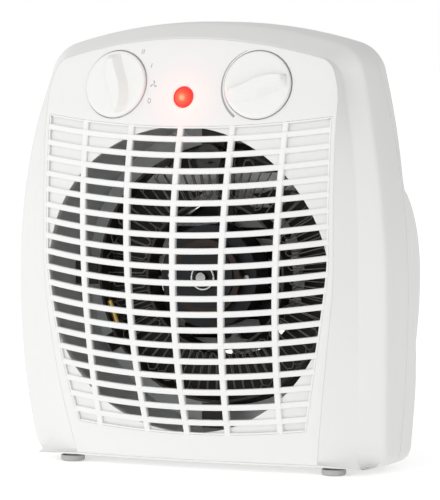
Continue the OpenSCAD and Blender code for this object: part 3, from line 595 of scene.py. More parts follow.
def relief(loops, front, back, spacing, steps=4):
    """Closed slab whose front view is the first loop less the others; each loop is (points, edge radius). The
    front and back surfaces are functions of x and z, and the front's edges are rounded."""
    # Each loop gives nested rings, set in and dropped back along a quarter round
    flat, drop, edges, rims, outlines = [], [], [], [], []
    total = 0
    for k, (loop, radius) in enumerate(loops):
        loop = loop if (area_of(loop) > 0) == (k == 0) else loop[::-1]
        normal = left_of(loop)
        n = len(loop)
        outlines.append(loop)
        for i, a in enumerate(np.linspace(0, math.pi / 2, steps + 1)):
            flat.append(loop + normal * radius * (1 - math.cos(a)))
            drop.append(np.full(n, radius * (1 - math.sin(a))))
            edges += [(total + j, total + (j + 1) % n) for j in range(n)]
            if i == 0:
                rims.append(range(total, total + n))
            total += n
    # Points on a grid fill the face, clear of the rounded edges
    rings = np.concatenate(flat)
    low, high = rings.min(0), rings.max(0)
    gx, gz = np.meshgrid(np.arange(low[0], high[0], spacing), np.arange(low[1], high[1], spacing))
    grid = np.stack([gx.ravel(), gz.ravel()], 1)
    keep = inside(grid, outlines[0])
    for hole in outlines[1:]:
        keep &= ~inside(grid, hole)
    grid = grid[keep]
    near = np.array([np.min(np.sum((rings - g) ** 2, 1)) for g in grid])
    grid = grid[near > (0.7 * spacing) ** 2]
    flat = np.concatenate([rings, grid])
    drop = np.concatenate([np.concatenate(drop), np.zeros(len(grid))])
    verts, _, tris, origin, _, _ = geometry.delaunay_2d_cdt([Vector(p) for p in flat], edges, [], 0, 1e-6)
    where = [o[0] if o else -1 for o in origin]
    verts = np.array([tuple(v) for v in verts])
    drop = np.array([drop[w] if w >= 0 else 0 for w in where])
    index = {w: i for i, w in enumerate(where)}
    tris = np.array([tuple(t) for t in tris if len(t) == 3])
    mid = verts[tris].mean(1)
    keep = inside(mid, outlines[0])
    for hole in outlines[1:]:
        keep &= ~inside(mid, hole)
    tris = tris[keep]
    x, z = verts[:, 0], verts[:, 1]
    count = len(verts)
    # The same triangles make the back, and a wall joins the two along each loop
    points = np.concatenate([np.stack([x, front(x, z) + drop, z], 1), np.stack([x, back(x, z), z], 1)])
    faces = [tuple(t) for t in tris] + [tuple(count + i for i in t[::-1]) for t in tris]
    for rim in rims:
        ids = [index[i] for i in rim]
        faces += [(a, b, count + b, count + a) for a, b in zip(ids, ids[1:] + ids[:1])]
    used = sorted({i for f in faces for i in f})
    fresh = {old: new for new, old in enumerate(used)}
    return points[used], [tuple(fresh[i] for i in f) for f in faces]


def circle(x, z, r, n):
    """The n points of a circle, anticlockwise."""
    a = np.linspace(0, 2 * math.pi, n, endpoint=False)
    return np.stack([x + r * np.cos(a), z + r * np.sin(a)], 1)


def rounded_box(w, h, r, n=4):
    """Closed profile w by h with corner radius r."""
    u, v = w / 2 - r, h / 2 - r
    corners = [(u, v, 0), (-u, v, 90), (-u, -v, 180), (u, -v, 270)]
    return np.array([(cx + r * math.cos(math.radians(a + t)), cy + r * math.sin(math.radians(a + t)))
                     for cx, cy, a in corners for t in np.linspace(0, 90, n)])


def sweep(path, across, profile):
    """Profile carried along a path; its first axis stays near the direction across."""
    path = np.asarray(path, float)
    along = np.gradient(path, axis=0)
    along /= np.linalg.norm(along, axis=1, keepdims=True)
    u = np.asarray(across, float) - along * (along @ np.asarray(across, float))[:, None]
    u /= np.linalg.norm(u, axis=1, keepdims=True)
    v = np.cross(along, u)
    rings = [p + profile[:, :1] * a + profile[:, 1:] * b for p, a, b in zip(path, u, v)]
    return loft(rings, start=path[0], end=path[-1])


def lathe(profile, n=64):
    """Profile of (radius, height) turned round the local z axis; both ends close on the axis."""
    a = np.linspace(0, 2 * math.pi, n, endpoint=False)
    rings = [np.stack([r * np.cos(a), r * np.sin(a), np.full(n, float(h))], 1) for r, h in profile]
    return loft(rings, start=(0, 0, profile[0][1]), end=(0, 0, profile[-1][1]))


def turned_to(points, matrix):
    """Points carried by a matrix."""
    points = np.asarray(points, float)
    return points @ np.array(matrix.to_3x3()).T + np.array(matrix.translation)


def on_front(x, z):
    """Frame of a part set square on the front at x, z: its z axis points outwards and its y axis up."""
    pitch = math.atan(float(dome_y(abs(x), z + 0.5) - dome_y(abs(x), z - 0.5)))
    yaw = math.atan(float(dome_y(abs(x) + 0.5, z) - dome_y(abs(x) - 0.5, z))) if x else 0.0
    turn = Matrix.Rotation(math.copysign(yaw, x), 4, "Z") @ Matrix.Rotation(math.pi / 2 - pitch, 4, "X")
    return Matrix.Translation((x, float(dome_y(x, z)), z)) @ turn


def along_fan(y):
    """Frame on the fan's axis at depth y, its z axis pointing back."""
    return Matrix.Translation((0, y, FAN_Z)) @ Matrix.Rotation(-math.pi / 2, 4, "X")


# ---------------------------------------------------------------- geometry node trees

def new_tree(name, **sockets):
    """Tree with a geometry input, named inputs, and a geometry output."""
    tree = bpy.data.node_groups.new(name, "GeometryNodeTree")
    tree.interface.new_socket("Geometry", in_out="INPUT", socket_type="NodeSocketGeometry")
    for label, kind in sockets.items():
        tree.interface.new_socket(label.replace("_", " "), in_out="INPUT", socket_type="NodeSocket" + kind)
    tree.interface.new_socket("Geometry", in_out="OUTPUT", socket_type="NodeSocketGeometry")
    return tree, tree.nodes.new("NodeGroupInput")


def close_tree(tree, source, finish_socket):
    """Ends a tree in real geometry with its material."""
    real = add(tree, "GeometryNodeRealizeInstances", Geometry=source)
    painted = add(tree, "GeometryNodeSetMaterial", Geometry=(real, 0), Material=finish_socket)
    add(tree, "NodeGroupOutput", i0=(painted, 0))


def bar_tree():
    """Rounded rectangular bars along guide lines."""
    sizes = {"Depth": "Float", "Height": "Float", "Edge_radius": "Float"}
    tree, given = new_tree("moulded_bars", **sizes, Finish="Material")
    line = add(tree, "GeometryNodeMeshToCurve", Mesh=(given, "Geometry"))
    upright = add(tree, "GeometryNodeSetCurveNormal", {"mode": "Z_UP"}, Curve=(line, 0))
    deep, high = (given, "Depth"), (given, "Height")
    box = add(tree, "GeometryNodeCurvePrimitiveQuadrilateral", Width=deep, Height=high)
    edge = (given, "Edge radius")
    soft = add(tree, "GeometryNodeFilletCurve", {"mode": "POLY"}, Curve=(box, 0), Radius=edge, Count=3)
    bars = add(tree, "GeometryNodeCurveToMesh", Curve=(upright, 0), Profile_Curve=(soft, 0), Fill_Caps=True)
    close_tree(tree, (bars, 0), (given, "Finish"))
    return tree


def wire_tree():
    """Round wire along guide lines."""
    tree, given = new_tree("drawn_wire", Radius="Float", Sides="Int", Finish="Material")
    line = add(tree, "GeometryNodeMeshToCurve", Mesh=(given, "Geometry"))
    sides, radius = (given, "Sides"), (given, "Radius")
    ring = add(tree, "GeometryNodeCurvePrimitiveCircle", Resolution=sides, Radius=radius)
    wire = add(tree, "GeometryNodeCurveToMesh", Curve=(line, 0), Profile_Curve=(ring, 0), Fill_Caps=True)
    close_tree(tree, (wire, 0), (given, "Finish"))
    return tree


def ring_tree():
    """Copies of a part evenly round the z axis."""
    tree, given = new_tree("evenly_round", Count="Int", Finish="Material")
    marks = add(tree, "GeometryNodeMeshLine", Count=(given, "Count"), Offset=(0, 0, 0))
    number = add(tree, "GeometryNodeInputIndex")
    whole = add(tree, "ShaderNodeMath", {"operation": "DIVIDE"}, i0=math.tau, i1=(given, "Count"))
    angle = add(tree, "ShaderNodeMath", {"operation": "MULTIPLY"}, i0=(number, 0), i1=(whole, 0))
    turn = add(tree, "ShaderNodeCombineXYZ", Z=(angle, 0))
    part = (given, "Geometry")
    copies = add(tree, "GeometryNodeInstanceOnPoints", Points=(marks, 0), Instance=part, Rotation=(turn, 0))
    close_tree(tree, (copies, 0), (given, "Finish"))
    return tree


def scatter_tree():
    """Copies of a part at the guide points, all turned the same way."""
    tree, given = new_tree("set_at_points", Part="Object", Finish="Material")
    part = add(tree, "GeometryNodeObjectInfo", Object=(given, "Part"))
    marks = add(tree, "GeometryNodeMeshToPoints", Mesh=(given, "Geometry"))
    copies = add(tree, "GeometryNodeInstanceOnPoints", Points=(marks, 0), Instance=(part, "Geometry"))
    close_tree(tree, (copies, 0), (given, "Finish"))
    return tree


BARS, WIRE, ROUND, SET_AT = bar_tree(), wire_tree(), ring_tree(), scatter_tree()


def grown(mesh, tree, **values):
    """Mesh that a tree makes from a guide mesh; values are the tree's named inputs."""
    guide = as_object("guide", mesh)
    grow = guide.modifiers.new("grow", "NODES")
    grow.node_group = tree
    labels = {s.name: s.identifier for s in tree.interface.items_tree if s.in_out == "INPUT"}
    for label, value in values.items():
        grow[labels[label.replace("_", " ")]] = value
    return evaluated(guide)


def guide_lines(lines, loop=False):
    """Mesh of edges along each line of points."""
    points, edges, n = [], [], 0
    for line in lines:
        points.append(np.asarray(line, float))
        edges += [(n + i, n + i + 1) for i in range(len(line) - 1)]
        if loop:
            edges.append((n + len(line) - 1, n))
        n += len(line)
    mesh = bpy.data.meshes.new("guide")
    mesh.from_pydata(placed(np.concatenate(points)).tolist(), edges, [])
    return mesh


def many(part, points, finish):
    """A part set at each point of the casing frame; the part's mesh is already turned."""
    part = as_object("part", part)
    marks = bpy.data.meshes.new("marks")
    marks.from_pydata(placed(points).tolist(), [], [])
    made = grown(marks, SET_AT, Part=part, Finish=finish)
    bpy.data.objects.remove(part)
    return made


def own_mesh(points, faces):
    """Closed mesh in metres about its own origin, for copying."""
    return mesh_of("part", np.asarray(points, float) - [0, DATUM, 0], faces)


# ---------------------------------------------------------------- casing

def front_casing():
    """Front half of the shell, from the panel's mouth back to the seam. Its rings run back outside and
    forward inside, each rounded by its own radius."""
    p = OUTLINE
    rings = [
        mouth_ring(p, 0, 0), crease_ring(p, 0, 0), ring_at(p, 1.5, 1, 0.4, 18), ring_at(p, 0, 0, 0, 28),
        flat_ring(p, 0, SEAM), flat_ring(p, WALL, SEAM), ring_at(p, WALL, WALL, WALL, 28),
        ring_at(p, 1.5 + WALL, 1 + WALL, 0.4 + WALL, 19.5), crease_ring(p, 0.2, 2.6), mouth_ring(p, 0, WALL),
    ]
    rounds = [0.3, 0.8, 2.5, 3.5, 0.5, 0, 2, 2, 0.5, 0]
    return mesh_of("front_casing", *loft(soften(rings, rounds), loop=True))


def rear_block(into, front):
    """Solid behind the seam, with the leaning rear wall."""
    rings = [flat_ring(OUTLINE, into, front)]
    rings += [rear_ring(OUTLINE, into, a) for a in np.linspace(0, math.pi / 2, 9)]
    edge = rings[-1]
    mid = np.array([0, 0, 0.5 * H])
    for t in np.linspace(0.92, 0.08, 12):
        scaled = mid + (edge - mid) * t
        z = mid[2] + (OUTLINE[:, 1] - mid[2]) * t
        scaled[:, 1] = rear_y(z) - into
        rings.append(scaled)
    points, faces = loft(rings, start=(0, front, mid[2]), end=(0, float(rear_y(mid[2])) - into, mid[2]))
    return mesh_of("rear_block", points, faces)


def hump(into):
    """Hump over the fan: rows of z, each with rounded rear corners."""
    half, r, rings = 0.455 * W - into, 18 - into, []
    turn = np.linspace(0, math.pi / 2, 9)
    for t in (1 - np.cos(np.linspace(0, math.pi, 41))) / 2:
        full = HUMP_FOOT + (HUMP_TOP - HUMP_FOOT) * t
        z, deep = full + into * (1 - 2 * t), float(hump_depth(full)) - into - r
        right = np.stack([half - r + r * np.cos(turn), deep + r * np.sin(turn)], 1)
        row = np.concatenate([[[-half, SEAM + 3], [half, SEAM + 3]], right, right[::-1] * [-1, 1]])
        rings.append(np.column_stack([row, np.full(len(row), z)]))
    foot_end, top_end = ((0, SEAM + 6, rings[k][0, 2]) for k in (0, -1))
    return mesh_of("hump", *loft(rings, start=foot_end, end=top_end))


def peg(x, z, r, front, back, n=32):
    """Closed cylinder along y."""
    ring = circle(x, z, r, n)
    ends = [np.column_stack([ring[:, 0], np.full(n, y), ring[:, 1]]) for y in (front, back)]
    return mesh_of("peg", *loft(ends, start=(x, front, z), end=(x, back, z)))


def intake_slot(low, high, z, h, front, back):
    """Closed bar with round ends, for cutting one slot."""
    a = np.linspace(-math.pi / 2, math.pi / 2, 9)
    right = np.stack([high - h / 2 + h / 2 * np.cos(a), z + h / 2 * np.sin(a)], 1)
    ring = np.concatenate([right, [low + high, 0] + right[::-1] * [-1, 1]])
    ends = [np.column_stack([ring[:, 0], np.full(len(ring), y), ring[:, 1]]) for y in (front, back)]
    mid = ((low + high) / 2, z)
    return mesh_of("slot", *loft(ends, start=(mid[0], front, mid[1]), end=(mid[0], back, mid[1])))


def intake_slots(pitch=12.0, h=6.4, rib=1.8):
    """Rows of slots in four columns that fill a circle round the fan's axis."""
    reach, made = OUTLET_R - 6, []
    rows_below = math.floor((FAN_Z - HUMP_FOOT - 12) / pitch)
    rows_above = math.floor((HUMP_TOP - FAN_Z - 6) / pitch)
    for i in range(-rows_below, rows_above + 1):
        half = math.sqrt(reach ** 2 - (i * pitch) ** 2)
        for c in (-1.5, -0.5, 0.5, 1.5):
            low = max(c * reach / 2 - reach / 4 + rib, -half)
            high = min(c * reach / 2 + reach / 4 - rib, half)
            if high - low > h + 2:
                made.append(intake_slot(low, high, FAN_Z + i * pitch, h, 52, 125))
    return joined(*made)


def rear_casing():
    """Rear half: block and hump, hollowed, with intake slots, screw wells and the gland's hole."""
    shell = combine(rear_block(0, SEAM), hump(0), "UNION")
    hollow = combine(rear_block(WALL, SEAM - 1), hump(WALL), "UNION")
    shell = combine(shell, hollow, "DIFFERENCE")
    wells = joined(*[peg(x, z, 5, SEAM, float(rear_y(z)) - 1) for x, z in BOSSES])
    shell = combine(shell, wells, "UNION")
    shell = combine(shell, joined(*[peg(x, z, 4, SEAM + 8, 90) for x, z in BOSSES]), "DIFFERENCE")
    shell = combine(shell, intake_slots(), "DIFFERENCE")
    return combine(shell, peg(*GLAND, 6.1, 50, 90), "DIFFERENCE")


# ---------------------------------------------------------------- front panel and grille

def field_outline(into):
    """Outline of the grille's field: leaning sides, arched top and base."""
    z = np.linspace(FIELD_BOTTOM, FIELD_TOP, 60)
    right = np.stack([field_half(z), z + slat_rise(field_half(z))], 1)
    half_top, half_base = field_half(FIELD_TOP), field_half(FIELD_BOTTOM)
    x = np.linspace(half_top, -half_top, 61)[1:-1]
    top = np.stack([x, FIELD_TOP + slat_rise(x)], 1)
    x = np.linspace(-half_base, half_base, 51)[1:-1]
    base = np.stack([x, FIELD_BOTTOM + slat_rise(x)], 1)
    loop = np.concatenate([right, top, right[::-1] * [-1, 1], base])
    return loop + into * left_of(loop)


def panel_outline():
    """The mouth's outline, a hair inside it, without its doubled points."""
    x, z = mouth(casing_outline(4, 16, 18, 14, 20, 10), 0)
    loop = np.stack([x, z], 1)
    loop = loop[np.linalg.norm(np.roll(loop, -1, 0) - loop, axis=1) > 0.05]
    return loop + 0.04 * left_of(loop)


def seat_loop(side, r):
    """Front-view outline of a dial's round seat."""
    ring = np.column_stack([circle(0, 0, r, 72), np.zeros(72)])
    seat = turned_to(ring, on_front(side * KNOB_X, KNOB_Z))
    return seat[:, [0, 2]]


def front_panel():
    """Pillowed panel with the grille's field, the dials' seats, the lamp's hole and the outlet's floor."""
    face = relief([
        (panel_outline(), 0.3), (field_outline(0.0), 0.15),
        (seat_loop(-1, KNOB_R + 0.5), 0.5), (seat_loop(1, KNOB_R + 0.5), 0.5),
        (circle(0, LAMP_Z, LAMP_R + 0.15, 48), 0.35),
    ], dome_y, lambda x, z: dome_y(x, z) + POCKET + WALL, 5.0)
    floor = relief([(field_outline(-1.0), 0.0), (circle(0, FAN_Z, OUTLET_R, 128), 0.5)],
                   lambda x, z: dome_y(x, z) + FLOOR_DEPTH,
                   lambda x, z: dome_y(x, z) + POCKET + WALL - 0.1, 6.0)
    seats = []
    seat_r, seat_back = KNOB_R + 1.2, -SEAT_SINK - 1.5
    for side in (-1, 1):
        disc = [(0, seat_back), (seat_r, seat_back), (seat_r, -SEAT_SINK), (0, -SEAT_SINK)]
        points, faces = lathe(disc, 64)
        seats.append(mesh_of("seat", turned_to(points, on_front(side * KNOB_X, KNOB_Z)), faces))
    return joined(mesh_of("face", *face), mesh_of("pocket_floor", *floor), *seats)


def grille_slats():
    """Nineteen arched slats that follow the dome."""
    lines = []
    for r in range(1, SLAT_ROWS):
        level = FIELD_BOTTOM + r * ROW_PITCH - SLAT_H / 2
        half = float(field_half(level)) - 0.5
        x = np.linspace(-half, half, 71)
        z = level + slat_rise(x)
        lines.append(np.stack([x, dome_y(x, z) + SLAT_T / 2, z], 1))
    return grown(guide_lines(lines), BARS, Depth=SLAT_T / 1000, Height=SLAT_H / 1000, Edge_radius=0.0006,
                 Finish=POLYPROPYLENE_SLATS)


def front_grille():
    """Slats, five leaning uprights and the rim, with flush fronts and softened edges."""
    profile = rounded_box(BAR_W, SLAT_T, 0.6)
    uprights = []
    for k in range(-2, 3):
        z = np.linspace(FIELD_BOTTOM + 0.4, FIELD_TOP - 0.4, 90)
        x = bar_x(k, z)
        z = z + slat_rise(x)
        path = np.stack([x, dome_y(x, z) + SLAT_T / 2, z], 1)
        uprights.append(mesh_of("upright", *sweep(path, (1, 0, 0), profile)))
    loop, rim = field_outline(0.64), []
    inward = left_of(loop)
    for a, b in rounded_box(1.2, SLAT_T, 0.4):
        flat = loop + inward * a
        rim.append(np.column_stack([flat[:, 0], dome_y(flat[:, 0], flat[:, 1]) + SLAT_T / 2 + b, flat[:, 1]]))
    rim = mesh_of("rim", *loft(rim, loop=True))
    slats = grille_slats()
    for bar in uprights:
        slats = combine(slats, bar, "UNION")
    return combine(slats, rim, "UNION")


# ---------------------------------------------------------------- dials, marks and lamp

# The ridge's middle line and half width, from its top end to its foot, as shares of the dial's radius
RIDGE_SPOTS = [(-0.05, 0.9, 0.06), (-0.06, 0.45, 0.15), (0.02, 0.0, 0.2), (0.1, -0.45, 0.13),
               (0.06, -0.88, 0.04)]


def finger_ridge(turn):
    """Tapered S-shaped ridge: a crisp edge along one side, a blended facet along the other."""
    along = np.linspace(0, 4, 49)
    x, y, half = (np.interp(along, range(5), np.array(RIDGE_SPOTS)[:, k]) * KNOB_R for k in range(3))
    window = np.hanning(9) / np.hanning(9).sum()
    x, half = (np.convolve(np.pad(v, 4, mode="edge"), window, "valid") for v in (x, half))
    lift = KNOB_RIDGE * np.clip(np.minimum(along, 4 - along) / 0.35, 0, 1) ** 0.6
    rings = []
    for cx, cy, w, h in zip(x, y, half, lift):
        crisp = [(-w - 0.7, -0.6), (-w - 0.6, 0.05), (-w - 0.1, h - 0.35), (-w + 0.35, h)]
        facet = [(w - 0.3, h), (w + 0.2, h - 0.25), (w + 2.2, 0.4 * h), (w + 4.2, 0.04), (w + 4.3, -0.6)]
        rings.append([(cx + u, cy, KNOB_T + v) for u, v in crisp + facet])
    points, faces = loft(np.array(rings), start=(x[0], y[0], KNOB_T - 0.5), end=(x[-1], y[-1], KNOB_T - 0.5))
    return turned_to(points, Matrix.Rotation(math.radians(turn), 4, "Z")), faces


def dial(side, turn):
    """Round dial with a softened rim and its finger ridge."""
    a = np.linspace(0, math.pi / 2, 7)
    rim = [(KNOB_R - 1.1 + 1.1 * math.cos(t), KNOB_T - 1.1 + 1.1 * math.sin(t)) for t in a]
    profile = [(0, -SEAT_SINK + 0.4), (KNOB_R - 0.4, -SEAT_SINK + 0.4), (KNOB_R, -SEAT_SINK + 0.8)] + rim
    profile += [(KNOB_R * k, KNOB_T) for k in (0.85, 0.6, 0.3)] + [(0, KNOB_T)]
    place = on_front(side * KNOB_X, KNOB_Z)
    points, faces = lathe(profile, 128)
    body = mesh_of("dial", turned_to(points, place), faces)
    points, faces = finger_ridge(turn)
    return combine(body, mesh_of("ridge", turned_to(points, place), faces), "UNION")


def printed(strips):
    """Ink laid on the panel; each strip is two equal lines of x, z points, its edges."""
    made = []
    for one, other in strips:
        one, other = np.asarray(one, float), np.asarray(other, float)
        rings = []
        for a, b in zip(one, other):
            section = ((a, -0.05), (b, -0.05), (b, 0.15), (a, 0.15))
            rings.append([(p[0], float(dome_y(p[0], p[1])) + d, p[1]) for p, d in section])
        rings = np.array(rings)
        made.append(mesh_of("ink", *loft(rings, start=rings[0].mean(0), end=rings[-1].mean(0))))
    return joined(*made)


def bar_strip(cx, cz, w, h, tilt):
    """Straight stroke w by h, leaning by tilt degrees."""
    t = math.radians(tilt)
    up, out = np.array([-math.sin(t), math.cos(t)]), np.array([math.cos(t), math.sin(t)])
    rows = [np.array([cx, cz]) + up * k * h / 2 for k in (-1, -0.33, 0.33, 1)]
    return [r - out * w / 2 for r in rows], [r + out * w / 2 for r in rows]


def ring_strip(cx, cz, rx, rz, width, low=0.0, high=360.0, taper=(1, 1), n=40):
    """Band round an ellipse from angle low to high; its width runs between the taper shares."""
    a = np.radians(np.linspace(low, high, n))
    w = width * np.linspace(taper[0], taper[1], n)
    inner = np.stack([cx + rx * np.cos(a), cz + rz * np.sin(a)], 1)
    outer = np.stack([cx + (rx + w) * np.cos(a), cz + (rz + w) * np.sin(a)], 1)
    return inner, outer


def dial_marks():
    """Off, fan, low and high marks beside the left dial, and the heat crescent beside the right one."""
    r, strips = KNOB_R + 5.0, []

    def at(deg):
        return -KNOB_X + r * math.cos(math.radians(deg)), KNOB_Z + r * math.sin(math.radians(deg))

    # Off: an upright oval
    x, z = at(-22)
    strips.append(ring_strip(x, z, 0.7, 1.2, 0.35))
    # Fan: three tapered blades
    x, z = at(0)
    for k in (20, 140, 260):
        bx, bz = x + 1.1 * math.cos(math.radians(k)), z + 1.1 * math.sin(math.radians(k))
        strips.append(ring_strip(bx, bz, 1.0, 1.0, 0.9, k - 175, k - 75, (0.15, 1.0), 14))
    # Low and high: one stroke and two
    x, z = at(26)
    strips.append(bar_strip(x, z, 0.4, 2.6, -12))
    x, z = at(50)
    strips += [bar_strip(x + k, z, 0.4, 2.6, -12) for k in (-0.6, 0.6)]
    # Heat: a tapered crescent
    crescent_r = KNOB_R + 1.3
    strips.append(ring_strip(KNOB_X, KNOB_Z, crescent_r, crescent_r, 1.4, 112, 236, (0.15, 1.0)))
    return printed(strips)


def lamp_lens():
    """Domed lens with a small shoulder."""
    profile = [(0, -2.2), (LAMP_R - 0.05, -2.2), (LAMP_R - 0.05, 0.7), (LAMP_R - 0.35, 1.05)]
    sphere = LAMP_R * 1.4
    for t in np.linspace(0.93, 0.0, 10):
        r = LAMP_R * t
        profile.append((r, 1 - LAMP_R * 1.1 + math.sqrt(sphere ** 2 - r * r)))
    points, faces = lathe(profile, 64)
    return mesh_of("lens", turned_to(points, on_front(0, LAMP_Z)), faces)


def light_lamp():
    """The lit lamp's spill of red on the panel round it."""
    data = bpy.data.lights.new("lamp_spill", "POINT")
    data.energy = LAMP_WATTS
    data.color = (1.0, 0.16, 0.1)
    data.shadow_soft_size = 0.004
    glow = bpy.data.objects.new("lamp_spill", data)
    glow.location = spot(0, LAMP_Z, -7)
    bpy.context.scene.collection.objects.link(glow)


# ---------------------------------------------------------------- duct, element and fan

def air_duct():
    """Rolled sheet duct with a turned-in lip at the rear and a flange on the panel's collar."""
    n, sheet = 128, 1.2
    a = np.linspace(0, 2 * math.pi, n, endpoint=False)
    x, z = np.cos(a), np.sin(a)

    def ring(r, y):
        return np.column_stack([r * x, np.broadcast_to(y, n), FAN_Z + r * z])

    front = np.maximum(dome_y(DUCT_R * x, FAN_Z + DUCT_R * z) + POCKET + WALL + 0.3, -18)
    rear, flange_r, flange_front, flange_rear = 51.0, DUCT_R + 5, 6.1, 7.6
    length = rear - sheet - front
    rings = [ring(DUCT_R, front)] + [ring(DUCT_R, front + length * k) for k in (0.33, 0.66, 0.95)]
    rings += [ring(DUCT_R, rear - sheet), ring(THROAT_R, rear - sheet), ring(THROAT_R, rear)]
    rings += [ring(DUCT_R + sheet, rear), ring(DUCT_R + sheet, flange_rear), ring(flange_r, flange_rear)]
    rings += [ring(flange_r, flange_front), ring(DUCT_R + sheet, flange_front)]
    rings += [ring(DUCT_R + sheet, np.minimum(front, 6.0))]
    return mesh_of("air_duct", *loft(rings, loop=True))


def fan_shroud():
    """Black plate and ring that lead the air into the fan."""
    n = 96
    a = np.linspace(0, 2 * math.pi, n, endpoint=False)

    def ring(r, y):
        return np.column_stack([r * np.cos(a), np.full(n, y), FAN_Z + r * np.sin(a)])

    plate_r = THROAT_R + 3
    inner = [(plate_r, 51.1), (SHROUD_R + 1.2, 51.1), (SHROUD_R + 0.4, 51.4), (SHROUD_R, 52.2),
             (SHROUD_R, 63.1)]
    outer = [(SHROUD_R + 1.6, 63.1), (SHROUD_R + 1.6, 52.6), (plate_r, 52.6)]
    return mesh_of("fan_shroud", *loft([ring(r, y) for r, y in inner + outer], loop=True))


def heating_wire(y, shift):
    """Drawn wire zigzagged between the two rings, each run slightly bowed."""
    rng = np.random.default_rng(7 + int(y))
    pins, inner, outer = 36, HUB_RING_R + 1.6, RIM_RING_R - 1.7
    line = []
    for i in range(2 * pins):
        a = 2 * math.pi * (i + shift) / (2 * pins)
        bend = rng.normal(0, 0.25)
        for t in (0.08, 0.35, 0.65, 0.92):
            t = t if i % 2 == 0 else 1 - t
            r = inner + (outer - inner) * t
            line.append((r * math.cos(a), y + bend * math.sin(math.pi * t), FAN_Z + r * math.sin(a)))
        tip_r, tip_a = (outer, inner)[i % 2], a + math.pi / (2 * pins)
        line.append((tip_r * math.cos(tip_a), y, FAN_Z + tip_r * math.sin(tip_a)))
    return grown(guide_lines([line], loop=True), WIRE, Radius=0.00045, Sides=6, Finish=NICHROME)


def fan():
    """Five twisted and cambered blades on a hub with bevelled edges."""
    hub = 0.3 * FAN_R
    # From root to tip the chord grows, the pitch steepens and the blade sweeps back
    rings = []
    for t in np.linspace(0, 1, 13):
        r = hub - 1.5 + (FAN_R - 1.0 - hub + 1.5) * t
        chord = FAN_L * (0.9 + 2.2 * t ** 0.8) * (1 - 0.1 * max(t - 0.85, 0) / 0.15)
        pitch = math.radians(58 + 17 * t)
        sweep_back = 5 * t ** 1.5
        s = np.linspace(-0.5, 0.5, 15)
        camber = 0.07 * chord * (1 - 4 * s * s)
        thick = 0.7 * np.sqrt(np.clip(1 - (2 * s) ** 2, 0, 1)) + 0.12
        top = np.stack([s * chord, camber + thick], 1)
        low = np.stack([s * chord, camber - thick], 1)[::-1]
        section = np.concatenate([top, low])
        u = section[:, 0] * math.sin(pitch) - section[:, 1] * math.cos(pitch) + sweep_back
        v = section[:, 0] * math.cos(pitch) + section[:, 1] * math.sin(pitch) + FAN_L / 2
        rings.append(np.stack([np.sqrt(np.maximum(r * r - u * u, 1)), u, np.clip(v, 0.3, FAN_L - 0.3)], 1))
    blade = own_mesh(*loft(rings, start=rings[0].mean(0), end=rings[-1].mean(0)))
    blades = grown(blade, ROUND, Count=5, Finish=FAN_BLACK)
    profile = [(0, 0), (hub - 1.5, 0), (hub, 1.5), (hub, FAN_L - 4), (hub - 2, FAN_L - 2), (0, FAN_L - 2)]
    body = own_mesh(*lathe(profile, 64))
    made = joined(body, blades)
    place = Matrix.Translation((0, (FAN_Y + DATUM) / 1000, FAN_Z / 1000))
    made.transform(place @ Matrix.Rotation(-math.pi / 2, 4, "X"))
    return made


def bearing_cap():
    """Plate on the motor's front with the bearing's sleeve."""
    plate = [(0, 5), (6.2, 5), (6.2, 4.0), (BEARING_PLATE_R, 4.0), (BEARING_PLATE_R, 2.7)]
    sleeve = [(7.4, 2.6), (6.6, 0.9), (4.4, 0.5), (4.2, 2.2), (1.6, 2.2), (0, 2.2)]
    points, faces = lathe(plate + sleeve, 64)
    return mesh_of("cap", turned_to(points, along_fan(CAP_Y)), faces)


def bearing_ring():
    """Bright retaining ring on the bearing's sleeve."""
    radius, wire, n = 6.9, 0.75, 72
    rings = []
    turn = np.linspace(0, 2 * math.pi, n, endpoint=False)
    for t in np.linspace(0, 2 * math.pi, 12, endpoint=False):
        r = radius + wire * math.cos(t)
        level = np.full(n, 1.2 + wire * math.sin(t))
        rings.append(np.column_stack([r * np.cos(turn), r * np.sin(turn), level]))
    points, faces = loft(rings, loop=True)
    return mesh_of("ring", turned_to(points, along_fan(CAP_Y)), faces)


# ---------------------------------------------------------------- feet and screws

def foot(x, y):
    """Pressed-in foot with a softened base."""
    pad = [(0, 0), (5.6, 0), (6.4, 0.25), (6.9, 0.9), (7.0, 1.6), (7.0, 3.3), (6.8, 3.5)]
    stem = [(3.2, 3.5), (3.2, 6.0), (0, 6.0)]
    points, faces = lathe(pad + stem, 48)
    return mesh_of("foot", points + np.array([x, y, 0]), faces)


def casing_screws():
    """Pan-head cross-recess screws in the wells of the rear casing."""
    shank = [(0, -14), (1.5, -14), (1.5, 0)]
    head = [(3.3, 0), (3.5, 0.5), (3.3, 1.5), (2.4, 2.2), (1.2, 2.4), (0, 2.4)]
    body = own_mesh(*lathe(shank + head, 40))
    for w, d in ((0.9, 4.4), (4.4, 0.9)):
        corners = np.array([(-w / 2, -d / 2), (w / 2, -d / 2), (w / 2, d / 2), (-w / 2, d / 2)])
        rings = [np.column_stack([corners * k, np.full(4, h)]) for k, h in ((0.5, 1.0), (1.05, 3.0))]
        body = combine(body, own_mesh(*loft(rings, start=(0, 0, 1.0), end=(0, 0, 3.0))), "DIFFERENCE")
    body.transform(Matrix.Rotation(-math.pi / 2, 4, "X"))
    return many(body, [(x, SEAM + 8.0, z) for x, z in BOSSES], ZINC)


# ---------------------------------------------------------------- the whole object

